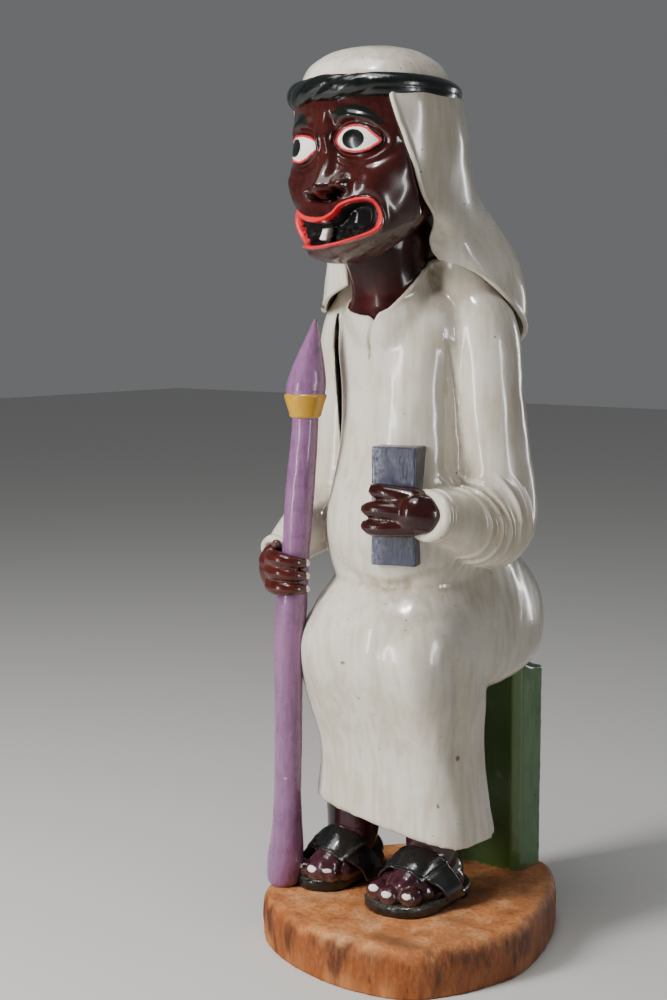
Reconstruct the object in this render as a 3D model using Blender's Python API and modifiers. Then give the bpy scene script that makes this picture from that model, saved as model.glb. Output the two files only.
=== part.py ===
"""Seated shetani figure, carved from one log of wood and painted.

The robed figure, its block seat, the spear in its right hand, the book in its left and the raw foot
of the log under them are one piece of wood, so the model is one solid. Metres, +Z up. The figure
faces -Y, and the origin is the middle of the base's flat underside.
"""

import math

import bmesh
import bpy
import numpy as np
from mathutils import Matrix, Vector

# Sizes of the whole, in metres. The figure's own forms are shares of its height.
FIGURE_HEIGHT = 0.650
BASE_HEIGHT = 0.038
BASE_WIDTH = 0.220
BASE_DEPTH = 0.252
BASE_EDGE_ROUNDING = 0.008
BASE_BOTTOM_ROUNDING = 0.002
BASE_WORN_RIM = 0.012

SEAT_WIDTH = 0.096
SEAT_DEPTH = 0.036
SEAT_HEIGHT = 0.173
SEAT_FRONT = 0.077
SEAT_SUNK = 0.003
SEAT_EDGE_ROUNDING = 0.0015

STAFF_DIAMETER = 0.0208
STAFF_FOOT_DIAMETER = 0.0280
SPEAR_DIAMETER = 0.0300
COLLAR_DIAMETER = 0.0325

BOOK_WIDTH = 0.038
BOOK_HEIGHT = 0.088
BOOK_THICKNESS = 0.030
BOOK_EDGE_ROUNDING = 0.0012
BOOK_TURN = 22
BOOK_MIDDLE = (2.3, -5.4, 48.2)

SOLE_THICKNESS = 0.009
STRAP_THICKNESS = 0.0035
STRAP_HALF_WIDTH = 1.9
HEADRING_DIAMETER = 0.1138
HEADRING_THICKNESS = 0.0165
CUFF_THICKNESS = 0.0095

# How fine the carving is cut, in metres, and how many facets the finished solid has.
CARVING_GRAIN = 0.0019
FACETS = 9400

# One share is a hundredth of the figure's height, and places on the figure are given in shares. The
# figure's middle line stands this far right of the base's middle, and this far behind it.
SHARE = FIGURE_HEIGHT / 100
FIGURE_X = 0.7
FIGURE_Y = -3.15

# The middle of the bare head, in shares, how far it is turned to the figure's right, in degrees, and the
# head ring's height: it stands highest to the figure's left front.
HEAD_X = -1.5
HEAD_Y = -4.9
HEAD_TURN = 6.0
RING_HEIGHT = 94.0
RING_TILT = 0.45
RING_HIGH_AT = -54

# The hem's height by the place across the figure, in shares: it sinks from the right corner to the left.
HEM_ACROSS = (-12.6, -7.8, -3.0, 0.0, 2.8, 5.3, 7.6, 9.6)
HEM_HEIGHT = (11.5, 11.0, 10.4, 10.0, 9.5, 9.0, 8.3, 7.9)
HEM_LEVEL = 9.4
STRAIGHT_ABOVE = 19.0

# Level sections of the robe and the headcloth, in shares: height, middle x and y, half width and depth,
# squareness (2 is an ellipse, and more is squarer), and the slope of the ring towards the back.
TORSO = (
    (35.0, -1.5, 6.0, 9.6, 10.0, 2.2, 0),
    (39.0, -1.5, 3.2, 9.2, 9.6, 2.2, 0),
    (42.0, -1.5, 1.9, 9.3, 9.6, 2.1, 0),
    (46.0, -1.5, 1.5, 9.4, 9.7, 2.1, 0),
    (50.0, -1.5, 2.0, 8.9, 9.2, 2.1, 0),
    (55.0, -1.5, 2.8, 8.3, 8.5, 2.3, 0),
    (61.0, -1.5, 3.1, 8.2, 8.3, 2.5, 0),
    (66.0, -1.5, 3.2, 8.8, 8.2, 2.6, 0),
    (69.5, -1.5, 3.4, 8.6, 8.3, 2.4, 0),
    (72.0, -1.5, 3.6, 7.0, 7.2, 2.2, 0),
    (73.5, -1.5, 3.6, 4.5, 5.0, 2.0, 0),
)
LAP = (
    (25.6, -1.5, 4.2, 8.9, 11.6, 2.5, 0),
    (26.8, -1.5, 5.7, 10.0, 13.7, 2.6, 0),
    (28.6, -1.6, 6.2, 10.9, 15.2, 2.7, 0),
    (31.5, -1.7, 6.3, 11.2, 16.0, 2.8, 0),
    (35.0, -1.7, 6.5, 10.9, 15.6, 2.7, 0),
    (38.0, -1.6, 6.9, 10.0, 13.8, 2.5, 0),
    (41.0, -1.5, 6.8, 8.8, 10.4, 2.3, 0),
    (43.5, -1.5, 6.0, 7.0, 7.0, 2.2, 0),
)
SKIRT = (
    (HEM_LEVEL, -1.5, 1.3, 11.2, 7.0, 3.0, 0.02),
    (10.6, -1.5, 1.2, 11.0, 6.9, 3.0, 0.02),
    (14.0, -1.5, 0.9, 10.5, 6.6, 3.0, 0.01),
    (19.0, -1.6, 0.5, 10.2, 6.7, 3.0, 0),
    (24.0, -1.9, -0.2, 10.8, 7.6, 3.0, 0),
    (28.0, -1.8, -0.8, 10.9, 8.4, 3.0, 0),
    (31.5, -1.8, -0.6, 11.0, 9.0, 2.8, 0),
    (34.5, -1.7, 0.4, 10.4, 9.0, 2.6, 0),
    (36.8, -1.6, 1.8, 8.8, 8.0, 2.3, 0),
)
CAPE = (
    (65.6, -1.5, 5.6, 11.8, 6.4, 2.4, 0),
    (68.5, -1.5, 5.0, 12.0, 7.2, 2.5, 0),
    (71.5, -1.6, 4.7, 11.8, 7.9, 2.8, 0),
    (75.5, -1.5, 5.4, 10.6, 8.2, 2.8, 0),
    (79.0, -1.5, 4.2, 9.2, 7.9, 2.6, 0),
    (83.0, -1.5, 1.4, 8.5, 7.0, 2.3, 0),
    (88.0, -1.5, -1.2, 8.6, 7.0, 2.2, 0),
    (93.0, -1.5, -2.6, 8.8, 7.3, 2.2, 0),
    (94.4, -1.5, -3.1, 8.6, 7.4, 2.2, 0),
)
DOME = (
    (93.0, HEAD_X, HEAD_Y, 8.3, 8.3, 2.1, 0),
    (95.5, HEAD_X, HEAD_Y, 8.2, 8.3, 2.1, 0),
    (96.6, HEAD_X, HEAD_Y, 7.8, 7.9, 2.1, 0),
    (97.5, HEAD_X, HEAD_Y, 7.15, 7.2, 2.1, 0),
    (98.4, HEAD_X, HEAD_Y, 5.9, 5.9, 2.1, 0),
    (98.95, HEAD_X, HEAD_Y, 4.7, 4.7, 2.0, 0),
    (99.4, HEAD_X, HEAD_Y, 2.7, 2.7, 2.0, 0),
    (99.6, HEAD_X, HEAD_Y, 0.8, 0.8, 2.0, 0),
)
ARM_SLOT = (
    (49.5, -10.2, -2.0, 0.06, 6.0, 2.0, 0),
    (54.0, -10.0, -2.0, 0.45, 6.0, 2.0, 0),
    (60.0, -9.8, -2.0, 0.75, 6.0, 2.0, 0),
    (66.0, -9.7, -2.0, 0.60, 6.0, 2.0, 0),
    (69.4, -9.6, -2.0, 0.06, 6.0, 2.0, 0),
)

# Places along the sleeves and the neck, in shares: x, y, z and radius.
LEFT_SLEEVE = (
    (4.6, 3.2, 71.0, 3.3),
    (7.2, 3.9, 68.0, 4.2),
    (7.9, 4.3, 60.0, 4.3),
    (8.4, 4.9, 53.0, 4.4),
    (8.8, 5.2, 47.5, 4.7),
    (8.6, 4.6, 45.0, 4.6),
    (8.3, 1.5, 45.4, 4.1),
    (7.8, -2.0, 46.6, 3.5),
    (7.4, -5.0, 47.2, 2.9),
    (7.3, -6.6, 47.4, 2.7),
)
RIGHT_SLEEVE = (
    (-7.6, 3.2, 71.0, 3.3),
    (-10.4, 3.2, 68.0, 4.1),
    (-11.3, 3.0, 60.0, 4.0),
    (-12.0, 3.2, 53.0, 4.1),
    (-12.2, 3.0, 47.5, 4.3),
    (-12.3, 1.5, 45.5, 4.2),
    (-12.6, -2.5, 44.4, 3.6),
    (-12.9, -5.8, 42.8, 2.9),
    (-13.3, -7.6, 41.8, 2.4),
)
NECK = (
    (-1.5, 1.0, 66.0, 5.6), (-1.5, -0.9, 70.4, 6.0), (-1.5, -1.7, 72.6, 5.0), (-1.5, -2.5, 74.8, 4.7),
    (-1.6, -3.4, 78.0, 5.2),
)

# The bare head, in shares: height, the distance its ring lies behind the head's middle, and its half
# width and half depth.
SKULL = (
    (75.4, -4.4, 1.6, 2.0), (76.2, -3.5, 4.2, 4.7), (78.2, -2.5, 6.5, 6.3), (80.5, -1.5, 8.0, 7.1),
    (83.0, -0.7, 9.0, 8.0), (86.0, -0.3, 9.4, 8.4), (90.0, -0.1, 9.5, 8.6), (93.4, 0.0, 9.0, 8.6),
    (94.6, 0.0, 8.0, 8.0), (96.5, 0.0, 6.0, 6.0),
)

# The soles' outlines, the tips of the toes with their radii, and the ankles, seen from above, in shares.
LEFT_SOLE = (
    (-2.6, -4.6), (-1.0, -6.6), (2.0, -7.3), (5.2, -6.0), (6.6, -2.6), (6.6, 1.4), (5.4, 5.4),
    (3.0, 7.6), (0.4, 7.4), (-1.2, 4.6), (-2.2, 0.0),
)
RIGHT_SOLE = (
    (-13.4, -4.6), (-11.6, -5.8), (-9.4, -5.6), (-7.4, -3.4), (-6.6, 0.0), (-7.0, 3.6), (-8.2, 6.6),
    (-10.6, 7.4), (-12.4, 5.8), (-13.4, 2.4), (-13.9, -1.4),
)
LEFT_TOES = ((-0.3, -5.9, 1.3), (2.0, -6.4, 1.3), (4.3, -5.6, 1.25))
RIGHT_TOES = ((-12.2, -4.8, 1.2), (-10.2, -5.0, 1.25), (-8.4, -4.3, 1.25))
LEFT_ANKLE = (2.6, 0.6)
RIGHT_ANKLE = (-9.6, 0.8)

# The spear's middle line from its foot to its point, the middles of its collar's foot and rim, and both
# hands and cuffs, in shares. Each right finger has the height of its knuckle and of its tip, each left
# finger also how far it stands in front; a cuff has its middle, the way the arm points, and half its
# width and height.
SPEAR_COURSE = (
    (-14.2, -6.6, 0.2), (-14.1, -6.7, 1.6), (-13.9, -6.9, 4.0), (-13.5, -7.2, 8.0), (-12.9, -7.8, 20.0),
    (-12.4, -8.2, 31.0), (-11.4, -8.3, 40.0), (-10.6, -8.2, 48.0), (-9.9, -8.0, 56.0),
    (-9.5, -7.9, 60.0), (-9.3, -7.8, 62.0), (-9.0, -7.7, 65.5), (-8.6, -7.6, 69.6),
)
COLLAR_FOOT = (-9.8, -8.0, 57.8)
COLLAR_RIM = (-9.5, -7.9, 61.0)
RIGHT_FINGERS = ((41.25, 40.65), (39.7, 39.25), (38.0, 37.85))
LEFT_FINGERS = ((49.2, 50.1, 8.9), (47.7, 48.0, 9.7), (46.3, 46.0, 9.7))
LEFT_CUFF = ((7.3, -6.5, 47.4), (-0.12, -1.0, 0.10), 2.75, 2.3)
RIGHT_CUFF = ((-13.6, -7.9, 41.5), (-0.15, -1.0, -0.35), 2.2, 1.75)

# The outline of the base, seen from above, as shares of its half width and half depth.
BASE_OUTLINE = (
    (0.61, -0.93), (0.19, -1.0), (-0.25, -0.94), (-0.64, -0.79), (-0.90, -0.58), (-1.0, -0.27),
    (-0.99, 0.10), (-0.87, 0.52), (-0.52, 0.86), (0.0, 1.0), (0.38, 0.97), (0.62, 0.76), (0.81, 0.45),
    (0.95, 0.08), (1.0, -0.20), (0.96, -0.42), (0.83, -0.72),
)


def place(x, y, z):
    """A point of the figure: shares right of its middle line, behind it, and above the base's top."""
    return Vector(((x + FIGURE_X) * SHARE, (y + FIGURE_Y) * SHARE, BASE_HEIGHT + z * SHARE))


def clear_scene():
    """Removes whatever the file opened with."""
    for obj in list(bpy.data.objects):
        bpy.data.objects.remove(obj)


def new_object(name, mesh):
    """Links a mesh or curve to the scene as an object."""
    obj = bpy.data.objects.new(name, mesh)
    bpy.context.scene.collection.objects.link(obj)
    return obj


def closed_mesh(name, grid):
    """A closed body from rows of points that each go once round it, with its ends filled."""
    rows, columns = grid.shape[:2]
    index = np.arange(rows * columns).reshape(rows, columns)
    turned = np.roll(index, -1, axis=1)
    sides = np.stack([index[:-1], turned[:-1], turned[1:], index[1:]], axis=-1).reshape(-1, 4)
    faces = sides.tolist() + [index[0, ::-1].tolist(), index[-1].tolist()]
    mesh = bpy.data.meshes.new(name)
    mesh.from_pydata(grid.reshape(-1, 3).tolist(), [], faces)
    work = bmesh.new()
    work.from_mesh(mesh)
    bmesh.ops.remove_doubles(work, verts=work.verts, dist=1e-6)
    bmesh.ops.recalc_face_normals(work, faces=work.faces)
    work.to_mesh(mesh)
    work.free()
    return mesh


def smooth_rows(rows, count):
    """Rows of values read along a smooth curve through the given ones, count of them in all."""
    rows = np.asarray(rows, float)
    ends = np.vstack([2 * rows[0] - rows[1], rows, 2 * rows[-1] - rows[-2]])
    at = np.linspace(0, len(rows) - 1, count)
    start = np.minimum(at.astype(int), len(rows) - 2)
    t = (at - start)[:, None]
    a, b, c, d = (ends[start + step] for step in range(4))
    return b + 0.5 * t * (c - a + t * (2 * a - 5 * b + 4 * c - d + t * (3 * (b - c) + d - a)))


def section(turn, square):
    """Cosine and sine of a superellipse: 2 is an ellipse, and more is squarer."""
    cosine, sine = np.cos(turn), np.sin(turn)
    power = 2 / square
    return np.sign(cosine) * np.abs(cosine) ** power, np.sign(sine) * np.abs(sine) ** power


def to_metres(points):
    """Shares of the figure turned to metres, for an array of points."""
    shift = np.array(place(0, 0, 0))
    return points * SHARE + shift


def loft(name, rings, rows=40, columns=72, shape=None):
    """A body through level sections: each ring is height, middle x and y, half width and depth,
    squareness, and the slope of the ring towards the back."""
    table = smooth_rows(rings, rows)
    height, x, y, width, depth, square, slope = (table[:, [i]] for i in range(7))
    turn = np.linspace(0, 2 * math.pi, columns, endpoint=False)[None, :]
    cosine, sine = section(turn, square)
    swell = 1.0 if shape is None else shape(turn + 0 * height, height + 0 * turn)
    across, back = width * cosine * swell, depth * sine * swell
    grid = np.stack([x + across, y + back, height + slope * back], axis=-1)
    return new_object(name, closed_mesh(name, to_metres(grid)))


def tube(name, points, sides=4, closed=False):
    """A round bar through points, each given as x, y, z and radius in shares, with closed ends."""
    curve = bpy.data.curves.new(name, "CURVE")
    curve.dimensions = "3D"
    curve.bevel_depth = 1.0
    curve.bevel_resolution = sides
    curve.use_fill_caps = not closed
    spline = curve.splines.new("POLY")
    points = np.asarray(points, float)
    if closed:
        loop = np.vstack([points[-1:], points, points[:2]])
        table = smooth_rows(loop, 8 * (len(loop) - 1) + 1)[8:-8]
        table = table[:-1]
    else:
        table = smooth_rows(points, 6 * (len(points) - 1) + 1)
    spline.points.add(len(table) - 1)
    spline.use_cyclic_u = closed
    for point, (x, y, z, radius) in zip(spline.points, table):
        point.co = (*place(x, y, z), 1)
        point.radius = radius * SHARE
    return new_object(name, curve)


def ball(name, centre, radii, turn=0.0):
    """An ellipsoid with its middle and radii in shares, turned about the vertical in degrees."""
    mesh = bpy.data.meshes.new(name)
    work = bmesh.new()
    bmesh.ops.create_uvsphere(work, u_segments=32, v_segments=20, radius=1)
    size = Matrix.Diagonal((*(r * SHARE for r in radii), 1))
    turned = Matrix.Rotation(math.radians(turn), 4, "Z")
    bmesh.ops.transform(work, matrix=Matrix.Translation(place(*centre)) @ turned @ size, verts=work.verts)
    work.to_mesh(mesh)
    work.free()
    return new_object(name, mesh)


def block(name, low, high, rounding, matrix=None):
    """A box between two corners in metres, its edges rounded, moved by a matrix."""
    mesh = bpy.data.meshes.new(name)
    work = bmesh.new()
    bmesh.ops.create_cube(work, size=1)
    middle = [(a + b) / 2 for a, b in zip(low, high)]
    sizes = [b - a for a, b in zip(low, high)]
    bmesh.ops.transform(
        work, matrix=Matrix.Translation(middle) @ Matrix.Diagonal((*sizes, 1)), verts=work.verts
    )
    bmesh.ops.bevel(work, geom=work.edges, offset=rounding, segments=2, profile=0.5, affect="EDGES")
    if matrix is not None:
        bmesh.ops.transform(work, matrix=matrix, verts=work.verts)
    work.to_mesh(mesh)
    work.free()
    return new_object(name, mesh)


def slanted_hem(skirt):
    """Moves the lower skirt up or down, so that its hem stands at the heights given across it."""
    for vertex in skirt.data.vertices:
        across = vertex.co.x / SHARE - FIGURE_X
        height = (vertex.co.z - BASE_HEIGHT) / SHARE
        amount = min(1.0, max(0.0, (STRAIGHT_ABOVE - height) / (STRAIGHT_ABOVE - HEM_LEVEL)))
        vertex.co.z += amount * (np.interp(across, HEM_ACROSS, HEM_HEIGHT) - HEM_LEVEL) * SHARE
    return skirt


def cuff(name, middle, forward, wide, high):
    """The rolled end of a sleeve: a round bar bent to an oval that stands square to the forearm."""
    forward = Vector(forward).normalized()
    across = forward.cross(Vector((0, 0, 1))).normalized()
    upward = across.cross(forward)
    points = []
    for turn in np.linspace(0, 2 * math.pi, 12, endpoint=False):
        spot = Vector(middle) + math.cos(turn) * wide * across + math.sin(turn) * high * upward
        points.append((*spot, CUFF_THICKNESS / 2 / SHARE))
    return tube(name, points, closed=True)


def joined(objects, name):
    """Makes the given objects one mesh object."""
    work = bmesh.new()
    for obj in objects:
        depsgraph = bpy.context.evaluated_depsgraph_get()
        mesh = bpy.data.meshes.new_from_object(obj.evaluated_get(depsgraph))
        mesh.transform(obj.matrix_world)
        work.from_mesh(mesh)
        bpy.data.objects.remove(obj)
    mesh = bpy.data.meshes.new(name)
    work.to_mesh(mesh)
    work.free()
    return new_object(name, mesh)


def robe():
    """The belly and chest, the lap on the seat, the skirt down to its hem, and the two sleeves."""
    torso = loft("torso", TORSO)
    lap = loft("lap", LAP)
    skirt = slanted_hem(loft("skirt", SKIRT))
    left_sleeve = tube("left sleeve", LEFT_SLEEVE, sides=6)
    right_sleeve = tube("right sleeve", RIGHT_SLEEVE, sides=6)
    left_cuff = cuff("left cuff", *LEFT_CUFF)
    right_cuff = cuff("right cuff", *RIGHT_CUFF)
    return [torso, lap, skirt, left_sleeve, right_sleeve, left_cuff, right_cuff]


def arm_slot():
    """The narrow slot cut between the right sleeve and the side of the body."""
    return loft("arm slot", ARM_SLOT)


def bump(across, up, wide, high):
    """A smooth hill, 1 in its middle, falling away over the given half width and half height."""
    return np.exp(-((across / wide) ** 2) - (up / high) ** 2)


def step(value, soft):
    """A smooth step from 0 to 1 where the value passes zero."""
    return 1 / (1 + np.exp(-np.clip(value / soft, -30, 30)))


def head():
    """The bare head, thrust forward on a thick neck: brow, bulging eyes, broad nose and open mouth."""
    table = smooth_rows(SKULL, 110)
    height, back, wide, deep = (table[:, [i]] for i in range(4))
    turn = np.linspace(-math.pi, math.pi, 180, endpoint=False)[None, :]
    sine, cosine = np.sin(turn), np.cos(turn)
    across = wide * np.sign(sine) * np.abs(sine) ** 0.9
    down = -deep * np.sign(cosine) * np.abs(cosine) ** 0.9
    face = step(cosine - 0.1, 0.08)
    side = np.abs(across)
    eye = bump(side - 4.4, height - 88.7, 2.4, 1.9)
    socket = bump(side - 4.3, height - 88.6, 3.4, 3.0)
    brow = bump(side - 3.8, height - 91.9 + 0.05 * side ** 2, 3.6, 0.9)
    bridge = bump(across, height - 88.5, 1.2, 3.6)
    tip = bump(across, height - 83.5, 1.7, 1.3)
    wings = bump(side - 2.5, height - 83.6, 1.0, 1.0)
    arch = np.where(across > 0, 0.11, 0.075) * side ** 2 * np.exp(-((side / 6.5) ** 4))
    upper = 80.0 + arch + 0.9 * bump(across - 6.6, 0, 1.6, 1)
    lower = 77.3 + 0.060 * side ** 2
    mouth_end = np.where(across > 0, 6.6, 5.2)
    inside = np.minimum(upper - height, height - lower) * step(mouth_end - side, 0.25)
    lip = np.exp(-(((height - upper) / 0.6) ** 2)) + np.exp(-(((height - lower) / 0.6) ** 2))
    lip = lip * step(mouth_end + 0.6 - side, 0.3)
    cheek = bump(side - 6.0, height - 84.9, 1.8, 2.1)
    jaw_line = np.interp(side, (0, 2.5, 4.5, 6.0, 6.9, 7.4), (75.5, 76.2, 77.5, 78.6, 79.7, 81.6))
    under_jaw = step(jaw_line - 0.3 - height, 0.42) * step(side - 2.0, 0.6) * step(7.2 - side, 0.35)
    relief = (
        0.9 * eye - 0.9 * socket + 0.55 * brow + 0.95 * bridge + 2.1 * tip + 1.1 * wings
        + 0.6 * np.minimum(lip, 1) - 2.4 * step(inside - 0.4, 0.18) + 0.7 * cheek - 1.2 * under_jaw
    ) * face
    shrink = 1 + relief / np.hypot(across, down)
    x, y = across * shrink, down * shrink
    angle = math.radians(-HEAD_TURN)
    grid = np.stack([
        HEAD_X + x * math.cos(angle) - (y + back) * math.sin(angle),
        HEAD_Y + x * math.sin(angle) + (y + back) * math.cos(angle),
        height + 0 * x,
    ], axis=-1)
    skull = new_object("head", closed_mesh("head", to_metres(grid)))
    neck = tube("neck", NECK, sides=6)
    return [skull, neck]


def open_front(turn, height):
    """The swell of the cloth round the head: drawn in before the neck, and full behind it."""
    away = np.angle(np.exp(1j * (turn + math.radians(78))))
    return 1 - 0.34 * np.exp(-((away / 0.75) ** 2)) * step(84 - height, 1.5)


def headcloth():
    """The cloth over the head and down the back, and the twisted ring that holds it."""
    dome = loft("dome", DOME, rows=30)
    cape = loft("cape", CAPE, shape=open_front)
    reach = HEADRING_DIAMETER / 2 / SHARE
    high_at = math.radians(RING_HIGH_AT)
    ring = tube("head ring", [
        (HEAD_X + reach * math.cos(t), HEAD_Y + reach * math.sin(t),
         RING_HEIGHT + RING_TILT * math.cos(t - high_at), HEADRING_THICKNESS / 2 / SHARE)
        for t in np.linspace(0, 2 * math.pi, 24, endpoint=False)
    ], closed=True)
    return [dome, cape, ring]


def spear():
    """The spear from its foot to its point, and the fist that holds it against the knee."""
    pole = STAFF_DIAMETER / 2 / SHARE
    knob = STAFF_FOOT_DIAMETER / 2 / SHARE
    head = SPEAR_DIAMETER / 2 / SHARE
    rim = COLLAR_DIAMETER / 2 / SHARE
    radii = (
        [share * knob for share in (0.9, 1.0, 0.97)] + [share * pole for share in (1.08, 1, 1, 1, 1, 0.94)]
        + [share * head for share in (0.82, 1.0, 0.7, 0.1)]
    )
    shaft = tube("shaft", np.column_stack([SPEAR_COURSE, radii]), sides=6)
    collar = tube("collar", [(*COLLAR_FOOT, 0.72 * rim), (*COLLAR_RIM, rim)], sides=6)
    fingers = []
    for knuckle, tip in RIGHT_FINGERS:
        fingers.append(tube("finger", [
            (-13.8, -8.0, knuckle, 1.05),
            (-13.6, -9.5, knuckle, 1.05),
            (-12.5, -10.6, knuckle, 1.0),
            (-10.9, -10.6, 0.5 * (knuckle + tip), 0.9),
            (-9.7, -9.6, tip, 0.8),
            (-9.4, -8.6, tip, 0.7),
        ]))
    palm = ball("fist", (-13.7, -8.5, 39.8), (1.5, 1.9, 2.6))
    thumb = tube("thumb", [(-13.4, -7.6, 42.0, 0.9), (-12.7, -9.4, 42.6, 0.8)])
    return [shaft, collar, *fingers, palm, thumb]


def book():
    """The thick closed book, upright before the belly, and the hand laid over its cover."""
    turn = Matrix.Translation(place(*BOOK_MIDDLE)) @ Matrix.Rotation(math.radians(BOOK_TURN), 4, "Z")
    half = BOOK_WIDTH / 2, BOOK_THICKNESS / 2, BOOK_HEIGHT / 2
    body = block("book", [-h for h in half], half, BOOK_EDGE_ROUNDING, turn)
    fingers = []
    for root, tip, front in LEFT_FINGERS:
        fingers.append(tube("finger", [
            (5.6, -7.8, root, 1.35),
            (3.8, 0.25 - front, 0.4 * root + 0.6 * tip, 1.1),
            (2.2, -front, tip, 1.0),
            (0.7, 0.1 - front, tip, 0.75),
        ]))
    palm = ball("palm", (5.4, -7.5, 47.8), (3.0, 1.8, 2.85), 32)
    wrist = tube("wrist", [(7.6, -5.0, 47.4, 2.2), (6.0, -7.2, 47.7, 2.4)])
    return [body, *fingers, palm, wrist]


def strap(name, middle, half_width, reach, rise):
    """The broad band of a sandal, arched across the foot from one edge of the sole to the other."""
    thick = STRAP_THICKNESS / SHARE
    rows = []
    for turn in np.linspace(0, math.pi, 15):
        across, up = math.cos(turn), math.sin(turn) ** 0.8
        inner = np.array([middle[0] + reach * across, 0, middle[2] + rise * up])
        outer = inner + thick * np.array([across, 0, up])
        front, back = middle[1] - half_width, middle[1] + half_width
        rows.append([
            (inner[0], front, inner[2] - 0.5 * up), (outer[0], front, outer[2] - 0.5 * up),
            (outer[0], back, outer[2] + 0.6 * up), (inner[0], back, inner[2] + 0.6 * up),
        ])
    return new_object(name, closed_mesh(name, to_metres(np.array(rows))))


def foot(name, outline, toes, ankle):
    """One bare foot in a sandal: the sole, the three toes, the instep and ankle, and the strap."""
    thick = SOLE_THICKNESS / SHARE
    points = smooth_rows(np.vstack([outline, outline[:1]]), 48)[:-1]
    centre = points.mean(axis=0)
    rows = []
    for height, share in ((-0.8, 0.98), (0.0, 0.98), (0.2 * thick, 1.0), (0.85 * thick, 1.0), (thick, 0.97)):
        ring = centre + (points - centre) * share
        rows.append(np.column_stack([ring, np.full(len(ring), height)]))
    parts = [new_object(name + " sole", closed_mesh(name, to_metres(np.array(rows))))]
    for x, y, radius in toes:
        parts.append(tube(name + " toe", [
            (x, y + 4.5, thick + 1.4, radius),
            (x, y + 1.5, thick + 1.2, radius),
            (x, y, thick + 0.9, 0.85 * radius),
        ]))
    x, y = ankle
    parts.append(tube(name + " ankle", [
        (x, y - 4.6, thick + 1.2, 2.2),
        (x, y - 1.8, 4.0, 2.9),
        (x, y + 0.6, 6.0, 3.2),
        (x, y + 0.8, 10.6, 3.4),
    ], sides=6))
    parts.append(tube(name + " heel", [(x, y + 0.5, 3.2, 3.0), (x, y + 3.0, 2.6, 2.6)], sides=6))
    instep = (x - 0.3, y - 2.6, 0.8 * thick)
    parts.append(strap(name + " strap", instep, STRAP_HALF_WIDTH, 3.9, 4.0))
    return parts


def feet():
    """Both feet, the left one a little ahead and turned a little outward."""
    left = foot("left foot", LEFT_SOLE, LEFT_TOES, LEFT_ANKLE)
    return left + foot("right foot", RIGHT_SOLE, RIGHT_TOES, RIGHT_ANKLE)


def seat():
    """The plain squared block the figure sits on."""
    middle = (HEAD_X + FIGURE_X) * SHARE
    left, right = middle - SEAT_WIDTH / 2, middle + SEAT_WIDTH / 2
    low = (left, SEAT_FRONT, BASE_HEIGHT - SEAT_SUNK)
    high = (right, SEAT_FRONT + SEAT_DEPTH, BASE_HEIGHT + SEAT_HEIGHT)
    return block("seat", low, high, SEAT_EDGE_ROUNDING)


def base():
    """The round of the log left raw under the figure, its upper edge worn round."""
    outline = smooth_rows(np.vstack([BASE_OUTLINE[-1:], BASE_OUTLINE, BASE_OUTLINE[:2]]), 19 * 5 + 1)[5:-10]
    rows = []
    for height, inset in (
        (0.0, 0.5 * BASE_BOTTOM_ROUNDING),
        (BASE_BOTTOM_ROUNDING, 0.0),
        (BASE_HEIGHT - BASE_EDGE_ROUNDING, 0.0),
        (BASE_HEIGHT - 0.44 * BASE_EDGE_ROUNDING, 0.2 * BASE_WORN_RIM),
        (BASE_HEIGHT - 0.1 * BASE_EDGE_ROUNDING, 0.54 * BASE_WORN_RIM),
        (BASE_HEIGHT, BASE_WORN_RIM),
    ):
        ring = outline * (BASE_WIDTH / 2 - inset, BASE_DEPTH / 2 - inset)
        rows.append(np.column_stack([ring, np.full(len(ring), height)]))
    return new_object("base", closed_mesh("base", np.array(rows)))


def carving(forms, cut):
    """Unites the forms as one solid, rounds the cuts between them, and keeps a few thousand facets."""
    whole = joined(forms, "shetani_carving")
    remesh = whole.modifiers.new("one log", "REMESH")
    remesh.mode = "VOXEL"
    remesh.voxel_size = CARVING_GRAIN
    soften = whole.modifiers.new("softened cuts", "SMOOTH")
    soften.factor = 0.5
    soften.iterations = 3
    depsgraph = bpy.context.evaluated_depsgraph_get()
    mesh = bpy.data.meshes.new_from_object(whole.evaluated_get(depsgraph))
    whole.modifiers.clear()
    whole.data = mesh
    slot = whole.modifiers.new("slot", "BOOLEAN")
    slot.operation = "DIFFERENCE"
    slot.solver = "EXACT"
    slot.object = cut
    depsgraph = bpy.context.evaluated_depsgraph_get()
    mesh = bpy.data.meshes.new_from_object(whole.evaluated_get(depsgraph))
    whole.modifiers.clear()
    whole.data = mesh
    bpy.data.objects.remove(cut)
    for vertex in mesh.vertices:
        if vertex.co.z < CARVING_GRAIN:
            vertex.co.z = 0.0
    facet = whole.modifiers.new("facets", "DECIMATE")
    facet.ratio = min(1.0, FACETS / sum(len(face.vertices) - 2 for face in mesh.polygons))
    return whole


clear_scene()
forms = [*robe(), *head(), *headcloth(), *spear(), *book(), *feet(), seat(), base()]
figure = carving(forms, arm_slot())
wood = bpy.data.materials.new("painted wood")
wood.diffuse_color = (0.75, 0.70, 0.60, 1.0)
figure.data.materials.clear()
figure.data.materials.append(wood)
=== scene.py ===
"""Seated shetani figure, carved from one log and painted: its looks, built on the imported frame."""
import math

import bmesh
import bpy
import numpy as np
from mathutils import Matrix, Vector


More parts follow.
